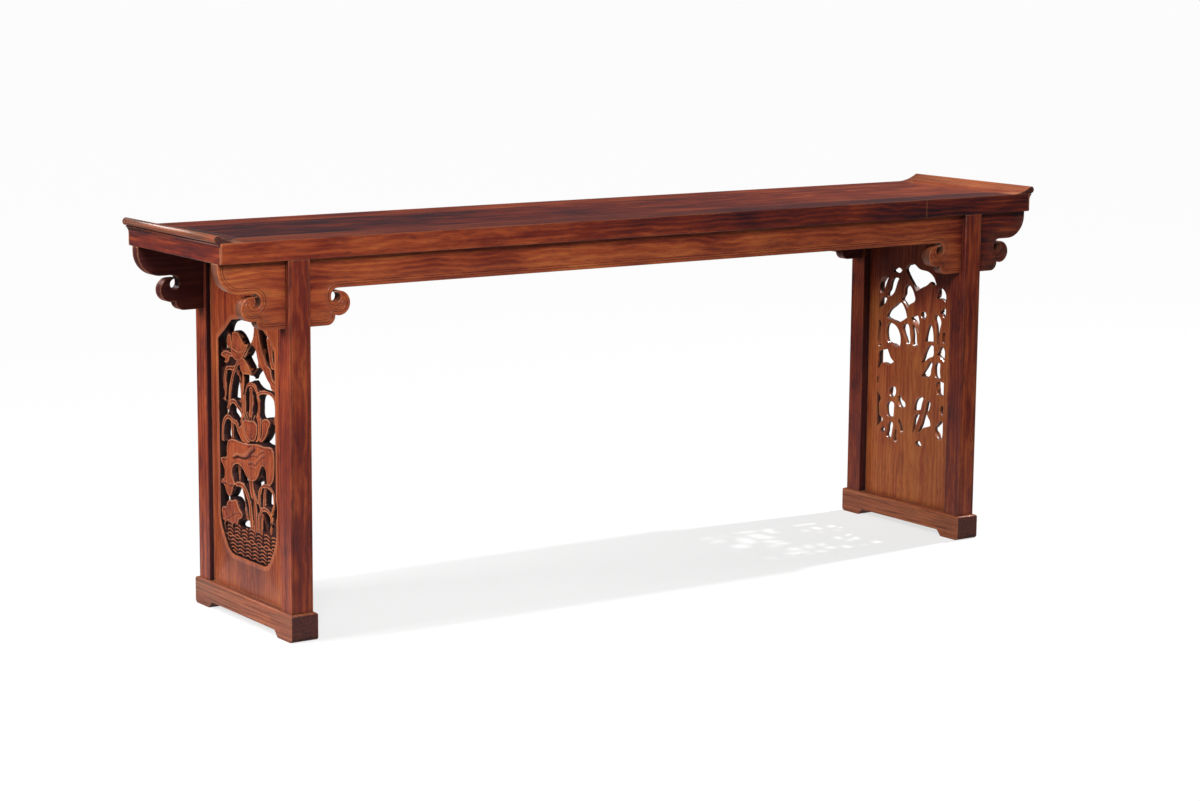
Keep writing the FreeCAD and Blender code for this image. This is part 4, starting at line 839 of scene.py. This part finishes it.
# %% Drawing of the veins and folds
# Height, half the width, then the line. A vein is cut below the leaf and a fold stands above it.
FOLDS = [
    (-1.3, 1.5, [(-9, 585), (10, 603), (26, 620), (38, 641), (44, 655)]),
    (-1.3, 1.5, [(46, 650), (51, 630), (59, 605), (70, 585), (86, 566), (106, 550), (129, 537)]),
    (-1.1, 1.4, [(98, 634), (105, 612), (112, 590), (124, 577)]),
    (-1.0, 1.3, [(-36, 560), (-18, 566), (0, 560), (15, 550)]),
    (-1.1, 1.4, [(-70, 606), (-52, 603), (-34, 600), (-16, 604)]),
    (-1.1, 1.4, [(-116, 577), (-98, 581), (-80, 580), (-66, 579)]),
    (-1.0, 1.3, [(-4, 440), (-2, 424), (10, 416), (24, 420), (31, 432), (31, 443)]),
    (0.8, 1.4, [(4, 436), (12, 428), (21, 434)]),
    (-1.0, 1.3, [(52, 458), (54, 440), (50, 420)]),
    (-1.0, 1.3, [(84, 456), (78, 436), (66, 418)]),
    (1.9, 2.6, [(-66, 358), (-50, 365), (-34, 366), (-18, 368), (-4, 374), (10, 384), (24, 393)]),
    (-3.4, 3.2, [(-68, 352), (-50, 358), (-34, 358), (-14, 360), (2, 366), (16, 376), (32, 387)]),
    (1.2, 1.8, [(2, 356), (18, 360), (32, 358), (44, 366), (58, 376), (76, 384)]),
    (-1.8, 1.8, [(4, 350), (20, 354), (34, 352), (46, 360), (60, 370), (78, 378)]),
    (1.0, 1.5, [(14, 372), (26, 378), (40, 378), (54, 386), (74, 392)]),
    (-1.5, 1.6, [(12, 367), (26, 372), (42, 372), (56, 381), (76, 388)]),
    (-1.2, 1.6, [(-8, 346), (8, 342), (24, 344), (40, 340)]),
    (-1.2, 1.5, [(88, 392), (93, 370), (91, 350), (94, 326)]),
    (-1.2, 1.5, [(104, 396), (110, 372), (106, 346), (102, 328)]),
    (-1.2, 1.6, [(-86, 386), (-90, 350), (-94, 312), (-92, 272)]),
    (-1.0, 1.4, [(-90, 345), (-106, 344), (-122, 342)]),
    (1.2, 2.0, [(-124, 292), (-106, 295), (-88, 293), (-68, 296)]),
    (-1.6, 1.8, [(-122, 287), (-106, 290), (-88, 288), (-72, 290)]),
    (-1.3, 1.5, [(-118, 202), (-96, 213), (-74, 224), (-54, 232), (-34, 233)]),
    (-1.1, 1.3, [(-74, 224), (-84, 240), (-94, 252)]),
    (-1.1, 1.3, [(-74, 224), (-66, 242), (-60, 257)]),
    (-1.1, 1.3, [(-90, 216), (-104, 226), (-120, 230)]),
    (-1.1, 1.3, [(-74, 224), (-66, 210), (-62, 200)]),
    (-1.1, 1.3, [(-92, 214), (-92, 202), (-94, 193)]),
]
print(len(FOLDS), "veins and folds")

# %% [markdown]
# ## From drawing to relief
#
# A carver lowers the ground first, then lays out the forms from back to front. The height of
# every point starts at that ground, and each ribbon, petal and fold is laid over it in turn.
# Beside its height, each point keeps a hollow: painted shade and dirt that darken the deep places,
# and painted highlights and wear that pale the crests. The finish reads it.

# %% Laying one form over another
CURVE_STEP = 1.5
PETAL_ROUND = 13.0
# How far in from the edge of a petal they lie, and how wide they are.
LIP, GROOVE = (2.1, 1.8), (6.4, 2.5)
FOLD_TINT = 0.24
# A ribbon rises at its edges, sinks in the middle and drops past a share of its half width.
RIBBON_RISE, RIBBON_SINK, RIBBON_DROP, RIBBON_EDGE = 1.5, 1.0, 1.2, 0.8


def lay_ribbon(points, height, tint, level, half_wide, line):
    """Lays a ribbon with raised edges over the height."""
    gap = distance(points, flowing(line, CURVE_STEP), half_wide * 1.5) / half_wide
    outwards = np.clip(gap, 0, 1)
    section = level + RIBBON_RISE * outwards ** 4 - RIBBON_SINK * (1 - outwards) ** 2
    section = np.where(gap < RIBBON_EDGE, section, section - RIBBON_DROP * rise(gap, RIBBON_EDGE, 1.0))
    part = (gap < 1.0) & (section > height)
    height[part] = section[part]
    # The sunken middle is painted in shade and the raised edges pale, as highlights.
    tint[part] = (0.55 - 1.0 * rise(gap, 0.1, 0.75))[part]


def lay_petal(points, height, tint, level, crown, outline):
    """Lays a leaf or petal that swells in the middle, with a rolled lip and a groove inside it."""
    outline = flowing(outline, CURVE_STEP, closed=True)
    part = inside(points, outline)
    edge = distance(points, outline, PETAL_ROUND + 1.0, closed=True)
    swell = level + crown * np.sqrt(1 - (1 - np.clip(edge / PETAL_ROUND, 0, 1)) ** 2)
    drift = 0.6 + 0.4 * np.sin(points[:, 0] / 7.0 + 3.0 * level) * np.cos(points[:, 1] / 9.0)
    lip, groove = hump(edge, *LIP), drift * hump(edge, *GROOVE)
    height[part] = (height + (swell + lip - 1.1 * groove - height) * rise(edge, 0.0, 1.0))[part]
    # The groove is painted in shade and the rolled lip pale, as a highlight.
    tint[part] = (0.40 * groove - 0.25 * lip - 0.04)[part]


def lay_fold(points, height, tint, tall, half_wide, line):
    """Raises a fold, or cuts a vein where it is less than nothing tall."""
    gap = distance(points, flowing(line, CURVE_STEP), half_wide * 3)
    fold = hump(gap, 0.0, half_wide) * (gap < half_wide * 3)
    height += tall * fold
    # A raised fold is painted pale as a highlight, and a cut vein dark as shade.
    tint -= FOLD_TINT * tall * fold


print("petals are rounded over", PETAL_ROUND, "mm")

# %% Waves
# An arch: half its width, how far it sags at its ends, and the share over which its side slopes.
WAVE_WIDE, WAVE_SAG, WAVE_EDGE = 16.0, 11.0, 0.34
# From arch to arch, and how far the rows lie off the middle of the board.
WAVE_SPACING, WAVE_SHIFT = 34.0, 9.0
# From ridge to ridge down an arch, and from its crest to the first one.
WAVE_RIDGE, WAVE_FIRST = 8.2, 1.8
# Heights: of the row behind, of each row over the last, of a ridge, and between two arches.
WAVE_LEVEL, WAVE_STEP, WAVE_TALL, WAVE_TROUGH = -2.2, 0.6, 1.0, -4.2
WAVE_NUMBERS = range(-4, 5)
# The crest of each row above the floor, and how far the row is shifted, in arches.
WAVE_CRESTS = [(208, 0.5), (179, 0.0)]


def waves(points, height, tint):
    """Two rows of stacked arches for waves at the foot of the pond, the lower row in front."""
    for order, (crest, shift) in enumerate(WAVE_CRESTS):
        for number in WAVE_NUMBERS:
            aside = np.abs(points[:, 0] - (number + shift) * WAVE_SPACING + WAVE_SHIFT) / WAVE_WIDE
            sag = WAVE_SAG * (1 - np.sqrt(1 - np.clip(aside, 0, 1) ** 2))
            below = crest - sag - points[:, 1]
            part = (aside < 1) & (below > 0)
            ridge = np.cos((below - WAVE_FIRST) * math.tau / WAVE_RIDGE)
            side = rise(1 - aside, 0.0, WAVE_EDGE)
            arch_height = (WAVE_LEVEL + WAVE_STEP * order + WAVE_TALL * ridge) * side
            height[part] = (arch_height + WAVE_TROUGH * (1 - side))[part]
            # The valleys are painted in shade and the ridges pale, as highlights.
            tint[part] = (1.2 - 1.7 * rise(ridge, 0.2, 1.0) * side)[part]


print(len(WAVE_CRESTS), "rows of waves,", WAVE_SPACING, "mm from arch to arch")

# %% Relief of a whole board
# Levels: the top of the border, the flat face, the foot of the border, and the ground beside an
# opening and away from it.
BORDER_TOP, FACE_LEVEL, FIELD_EDGE, GROUND, STRIP_LEVEL = 4.2, 3.0, -4.0, -6.0, -2.4
# Widths: the border and its inner slope, how far in strips and sawn edges are rounded, and how far
# from an opening its distance still counts.
BORDER_WIDE, BORDER_SLOPE, STRIP_ROUND, HOLE_ROUND, HOLE_REACH = 12.0, 3.0, 8.0, 2.6, 12.0
# How far all relief stays below the face, and how dark the bare ground is painted, as shade.
BELOW_FACE, GROUND_TINT = 0.2, 1.15
# Depths between which a place is painted dark as shade, and how dark it gets there and beside the border.
DARK_DEPTHS, DEPTH_TINT, BORDER_TINT = (2.2, 5.0), 1.1, 0.8


def pond_relief(opening, holes):
    """The height and hollow of a board's face, for points of its drawing."""
    def relief(points):
        to_hole = np.full(len(points), HOLE_REACH)
        for hole in holes:
            to_hole = np.minimum(to_hole, distance(points, hole, HOLE_REACH, closed=True))
        to_border = distance(points, opening, BORDER_WIDE + 4, closed=True)
        share = np.clip(to_hole / STRIP_ROUND, 0, 1)
        height = GROUND + (STRIP_LEVEL - GROUND) * np.sqrt(1 - (1 - share) ** 2)
        tint = np.full(len(points), GROUND_TINT)
        for ribbon in RIBBONS:
            lay_ribbon(points, height, tint, *ribbon)
        for petal in PETALS:
            lay_petal(points, height, tint, *petal)
        for ribbon in FRONT_RIBBONS:
            lay_ribbon(points, height, tint, *ribbon)
        for fold in FOLDS:
            lay_fold(points, height, tint, *fold)
        waves(points, height, tint)
        height -= HOLE_ROUND * (1 - rise(to_hole, 0.0, HOLE_ROUND))
        height = np.minimum(height, FACE_LEVEL - BELOW_FACE)
        sunk = rise(to_border, 0.0, BORDER_SLOPE)
        height = height * sunk + np.minimum(height, FIELD_EDGE) * (1 - sunk)
        across = np.clip(to_border / BORDER_WIDE, 0, 1)
        band = FACE_LEVEL + (BORDER_TOP - FACE_LEVEL) * (1 - np.abs(2 * across - 1) ** 5)
        field = inside(points, opening)
        height = np.where(field, height, np.where(to_border < BORDER_WIDE, band, FACE_LEVEL))
        # Deep places and the foot of the border are painted in shade, and crests keep their painted
        # highlights.
        dark = np.where(tint < 0, tint, np.maximum(tint, DEPTH_TINT * rise(-height, *DARK_DEPTHS)))
        return height, np.where(field, dark + BORDER_TINT * (1 - sunk), 0.0)
    return relief


print("the ground lies", FACE_LEVEL - GROUND, "mm below the face beside an opening, and",
      FACE_LEVEL - STRIP_LEVEL, "mm away from it")


# %% [markdown]
# ## Carving the boards
#
# The two boards have the same pond, mirrored, but each has its own openings, and those come from
# the frame. The drawing gets close rows of points along the raised border, where the section
# changes quickly, and an even honeycomb everywhere else. The board at the right is seen from its
# plain inner side, which is browner and painted darker towards the top, as the apron's shade.

# %% Points for a drawing
def hex_points(low, high, gap):
    """Loose points in a honeycomb, which makes even triangles."""
    rows = np.arange(low[1], high[1], gap * math.sqrt(0.75))
    line = np.arange(low[0], high[0], gap)
    return np.vstack([np.column_stack([line + gap / 2 * (row % 2), np.full(len(line), up)])
                      for row, up in enumerate(rows)])


def clear_of(points, lines, gap, closed=True):
    """The points that lie at least a gap away from every line."""
    for line in lines:
        points = points[distance(points, line, gap, closed) >= gap]
    return points


def parallel(loop, away):
    """A closed outline moved outwards by a distance, or inwards where it is negative."""
    ahead = np.roll(loop, -1, axis=0) - np.roll(loop, 1, axis=0)
    ahead /= np.linalg.norm(ahead, axis=1, keepdims=True)
    return loop + away * np.column_stack([ahead[:, 1], -ahead[:, 0]])


print("a honeycomb of 10 mm fills 100 mm square with", len(hex_points((0, 0), (100, 100), 10)), "points")

# %% Carve the two lotus boards
# Gaps between loose points and along sawn lines, how far loose points stay clear of the field's
# edge and of the holes, and the rows of points that follow the border.
POINT_GAP = 1.35
SAW_STEP = 1.3
OPENING_CLEAR, HOLE_CLEAR = 1.2, 0.7
BORDER_ROWS = (-0.7, 0.05, 0.9, 3.0, 9.0, 11.2, 12.0)
# The left board's sawn walls are painted dark as shade; the right board's barely, and it is painted darker
# towards its top, as the apron's shade.
BOARDS = {"left": dict(heart=(-1.05, 0.03), tone=0.57, carved=0.9),
          "right": dict(heart=(0.99, -0.03), tone=0.84, carved=0.05, light_fade=-0.22, shaded_past=0.55)}


def carve_lotus_board(end, outward):
    """Replaces one board of the frame by its carved form."""
    node = f"lotus_board_{end}"
    low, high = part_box(node)
    border = high.x if outward > 0 else low.x
    zero = border / MM - outward * BORDER_TOP
    back = low.x if outward > 0 else high.x
    mirror = np.array([outward, 1.0])
    rims = turned_left([loop * mirror for loop in flat_outlines(node, 0, border)])
    opening = flowing(rims[1], SAW_STEP, closed=True, straight=8)
    loops = turned_left([loop * mirror for loop in flat_outlines(node, 0, back)])
    holes = [flowing(loop, SAW_STEP, closed=True, sharp=75) for loop in loops[1:]]
    guides = [parallel(opening, away) for away in BORDER_ROWS]
    guides = [np.vstack([guide, guide[:1]]) for guide in guides]
    loose = hex_points(opening.min(0) - 2, opening.max(0) + 2, POINT_GAP)
    loose = loose[inside(loose, opening)]
    for hole in holes:
        loose = loose[~inside(loose, hole)]
    loose = clear_of(loose, [opening], OPENING_CLEAR)
    loose = clear_of(loose, holes, HOLE_CLEAR)

    def place(across, up, proud):
        return (zero + outward * proud, outward * across, up)
    back_level = (back / MM - zero) * outward
    finish = wood(f"wood_{node}", "Z", cracks=0.5, **BOARDS[end])
    piece = worked_board(f"{node}_carved", [loops[0], *holes], guides, loose, pond_relief(opening, holes),
                         back_level, place, finish, walls=BOARDS[end]["carved"])
    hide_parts(node)


carve_lotus_board("left", -1)
carve_lotus_board("right", 1)

# %% [markdown]
# ## The aprons
#
# Each apron is one long board, with the scrolled spandrels cut from the same wood. The maker ran a
# thin double bead along the whole lower edge, about a centimetre in, round every scroll and up
# each end. A bead that narrow needs rows of points that follow it, so the drawing gets lines
# parallel to the edge, at the distances where the section changes.

# %% Lines parallel to an edge
# The gap along the edge, the turn between two points round an outer corner, in radians, and how
# much nearer than it should a point of a row may lie.
EDGE_STEP = 2.6
FAN_TURN = 0.17
ROW_TOLERANCE = 0.08
# How far in from the edge, and how high the face stands there.
BEAD = [(0.0, -0.9), (0.7, -0.2), (1.6, 0.0), (6.2, -0.1), (7.0, -1.2), (8.0, -0.35), (9.6, 0.0),
        (11.2, -0.35), (12.2, -1.2), (13.0, -0.1)]


def rows_beside(line, away):
    """Stretches of points to the left of an open line, at a true distance from it."""
    ways = np.diff(line, axis=0)
    angles = np.unwrap(np.arctan2(ways[:, 1], ways[:, 0]))
    points = []
    for index, corner in enumerate(line):
        before, after = angles[max(index - 1, 0)], angles[min(index, len(angles) - 1)]
        count = 1 + max(0, math.ceil((before - after) / FAN_TURN))
        turns = np.linspace(before, after, count) if count > 1 else [(before + after) / 2]
        points += [corner + away * np.array([-math.sin(turn), math.cos(turn)]) for turn in turns]
    points = np.array(points)
    good = distance(points, line, away + 5) >= away - ROW_TOLERANCE
    rows, row = [], []
    for point, fine in zip(points, good):
        if fine:
            row.append(point)
        if row and not fine:
            rows.append(row)
            row = []
    rows.append(row)
    return [np.array(row) for row in rows if len(row) > 1]


print("the bead needs", len(BEAD) - 1, "rows beside the edge")

# %% Cut the two aprons
# How far the rows of the bead reach, the gap between loose points beyond them, how far those stay
# from the top, and how level the top is.
BEAD_REACH = 16.0
FLAT_GAP = 9.0
TOP_CLEAR = 4.0
LEVEL = 0.01
# The grooves beside the bead are painted in shade by their depth, from this far in, and the sawn
# walls painted pale on the front apron as a reflection and dark on the rear one as shade.
BEAD_START, BEAD_TINT, BEAD_UNSHADED, SAWN_TINT = 3, 0.3, 0.12, 0.3


def cut_apron(node, outward, tone, light_fade=0.0, shaded_past=None):
    """Replaces one apron of the frame by its beaded form, with a smoother sawn edge."""
    low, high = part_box(node)
    face = (low.y if outward < 0 else high.y) / MM
    back = (high.y if outward < 0 else low.y) / MM
    mirror = np.array([-outward, 1.0])
    corners = turned_left([loop * mirror for loop in flat_outlines(node, 1, face * MM)])[0]
    top = corners[:, 1].max()
    first = next(i for i in range(len(corners))
                 if corners[i - 1, 1] > top - LEVEL and corners[i - 2, 1] > top - LEVEL)
    corners = np.roll(corners, 1 - first, axis=0)
    loop = flowing(corners, EDGE_STEP, closed=True, sharp=32, straight=14)
    edge = loop[:np.flatnonzero(loop[:, 1] > top - LEVEL)[1] + 1]
    rows = [row for away, _ in BEAD[1:] for row in rows_beside(edge, away)]
    loose = hex_points(loop.min(0), loop.max(0), FLAT_GAP)
    loose = loose[inside(loose, loop)]
    loose = clear_of(loose, [edge], BEAD_REACH, closed=False)
    loose = loose[loose[:, 1] < top - TOP_CLEAR]

    def relief(points):
        gap = distance(points, edge, BEAD_REACH)
        height = np.interp(gap, *zip(*BEAD))
        # Grooves are painted in shade by their depth.
        return height, np.clip(-BEAD_TINT * height - BEAD_UNSHADED, 0, 1) * (gap > BEAD_START)

    def place(across, up, proud):
        return (-outward * across, face + outward * proud, up)
    # The inner face of an apron is painted dark, as shade.
    inwards = (0.0, -outward * 1.0, 0.0)
    finish = wood(f"wood_{node}", "X", (outward * 0.12, 0.70), tone=tone, carved=0.01, light_fade=light_fade,
                  shaded_facing=inwards, shaded_past=shaded_past)
    # The sawn walls are painted pale on the front apron as a reflection, and dark on the rear one as shade.
    piece = worked_board(f"{node}_beaded", [loop], rows, loose, relief, -abs(face - back), place, finish,
                         walls=SAWN_TINT * outward)
    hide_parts(node)


# The front apron is painted with light that falls off to the right, and with shade past its right leg.
cut_apron("front_apron", -1, 0.55, light_fade=-0.09, shaded_past=0.88)
cut_apron("rear_apron", 1, 0.50)

# %% [markdown]
# ## Floor and light
#
# A white studio without a corner is a floor that runs to the horizon and a white sky. If the
# floor were lit until it turned white, the wood would bleach with it. So the floor shows mostly
# plain white to the camera and only a share of its real shading: enough to keep the soft shadows
# near the table. The polish sees something else: white close to the table and nearly black
# beyond, because a pale floor all the way out would lay a haze over every upright face. And the
# light that bounces up from it is that of a grey floor.
#
# The clear shadow comes from a small hard lamp high up at the right, which also throws the bright
# patches through the openwork. Two broad lamps at the left and in front open up the shaded faces,
# and a weak one behind draws the highlight along the left flange.

# %% Floor
FLOOR_REACH = 90.0
WHITE_SHARE, FAR_SHARE = 0.68, 0.97
SHADOW_ACROSS, SHADOW_DEEP = (0.9, 1.7), (0.24, 0.42)
GLINT_REACH, GLINT_NEAR, GLINT_FAR = 1.3, 0.7, 0.11
PALE, GREY, BLACK = (0.86, 0.86, 0.85), (0.34, 0.34, 0.34), (0.0, 0.0, 0.0)


def floor_finish():
    """A white floor that keeps a share of the shadows near the table."""
    f = Finish("studio_floor")

    def matt(colour):
        return f.node("ShaderNodeBsdfDiffuse", None, {"Color": (*colour, 1.0)})

    def mixed(share, first, second):
        return f.node("ShaderNodeMixShader", None, {0: share, 1: first, 2: second})
    seen = f.node("ShaderNodeLightPath", out="Is Camera Ray")
    mirrored = f.node("ShaderNodeLightPath", out="Is Glossy Ray")
    place = f.node("ShaderNodeTexCoord", out="Object")
    across, deep = (f.part(place, axis).maths("ABSOLUTE") for axis in range(2))
    far = across.between(*SHADOW_ACROSS).maths("MAXIMUM", deep.between(*SHADOW_DEEP))
    reach = f.node("ShaderNodeVectorMath", {"operation": "LENGTH"}, {0: place}, out="Value")
    near = 1.0 - reach.between(GLINT_REACH, 1.6 * GLINT_REACH)
    white = f.node("ShaderNodeEmission", None, {"Color": (1.0, 1.0, 1.0, 1.0), "Strength": 1.0})
    shown = mixed(far * (FAR_SHARE - WHITE_SHARE) + WHITE_SHARE, matt(PALE), white)
    glint = mixed(near * GLINT_NEAR + GLINT_FAR, matt(BLACK), white)
    return f.shown(mixed(seen, mixed(mirrored, matt(GREY), glint), shown))


floor_mesh = bpy.data.meshes.new("floor")
corners = [(x * FLOOR_REACH, y * FLOOR_REACH, 0) for x, y in ((-1, -1), (1, -1), (1, 1), (-1, 1))]
floor_mesh.from_pydata(corners, [], [(0, 1, 2, 3)])
floor_mesh.materials.append(floor_finish())
floor = bpy.data.objects.new("floor", floor_mesh)
bpy.context.scene.collection.objects.link(floor)
print("floor", 2 * FLOOR_REACH, "m wide")

# %% Lamps
def lamp(name, place, target, size, watts, mirrored=True):
    """A square soft lamp that faces a target, and is seen in the polish or not."""
    data = bpy.data.lights.new(name, "AREA")
    data.size = size
    data.energy = watts
    made = bpy.data.objects.new(name, data)
    bpy.context.scene.collection.objects.link(made)
    made.location = place
    made.visible_glossy = mirrored
    made.rotation_mode = "QUATERNION"
    made.rotation_quaternion = (Vector(target) - Vector(place)).to_track_quat("-Z", "Y")
    print(name, [round(c, 2) for c in place], watts, "W")


lamp("key_right", (4.0, 0.0, 4.0), (0.4, 0.0, 0.2), 0.15, 290)
lamp("left", (-3.9, 0.3, 2.0), (-0.4, 0.0, 0.5), 1.3, 138, mirrored=False)
lamp("front", (-2.0, -2.7, 2.7), (-0.4, 0.0, 0.4), 1.3, 132)
lamp("rear_left", (-1.6, 3.0, 2.3), (-1.1, 0.0, 0.87), 1.3, 24)

# %% Sky
SKY_LIGHT = 0.08

sky = bpy.data.worlds.new("studio_white")
sky.use_nodes = True
sky_tree = sky.node_tree
background = next(node for node in sky_tree.nodes if node.type == "BACKGROUND")
background.inputs["Color"].default_value = (1.0, 1.0, 1.0, 1.0)
ray = sky_tree.nodes.new("ShaderNodeLightPath")
strength = sky_tree.nodes.new("ShaderNodeMapRange")
strength.inputs["To Min"].default_value = SKY_LIGHT
strength.inputs["To Max"].default_value = 1.0
sky_tree.links.new(ray.outputs["Is Camera Ray"], strength.inputs["Value"])
sky_tree.links.new(strength.outputs["Result"], background.inputs["Strength"])
bpy.context.scene.world = sky
bpy.context.scene.view_settings.view_transform = "Standard"
print("sky lights the table at", SKY_LIGHT, "of white")
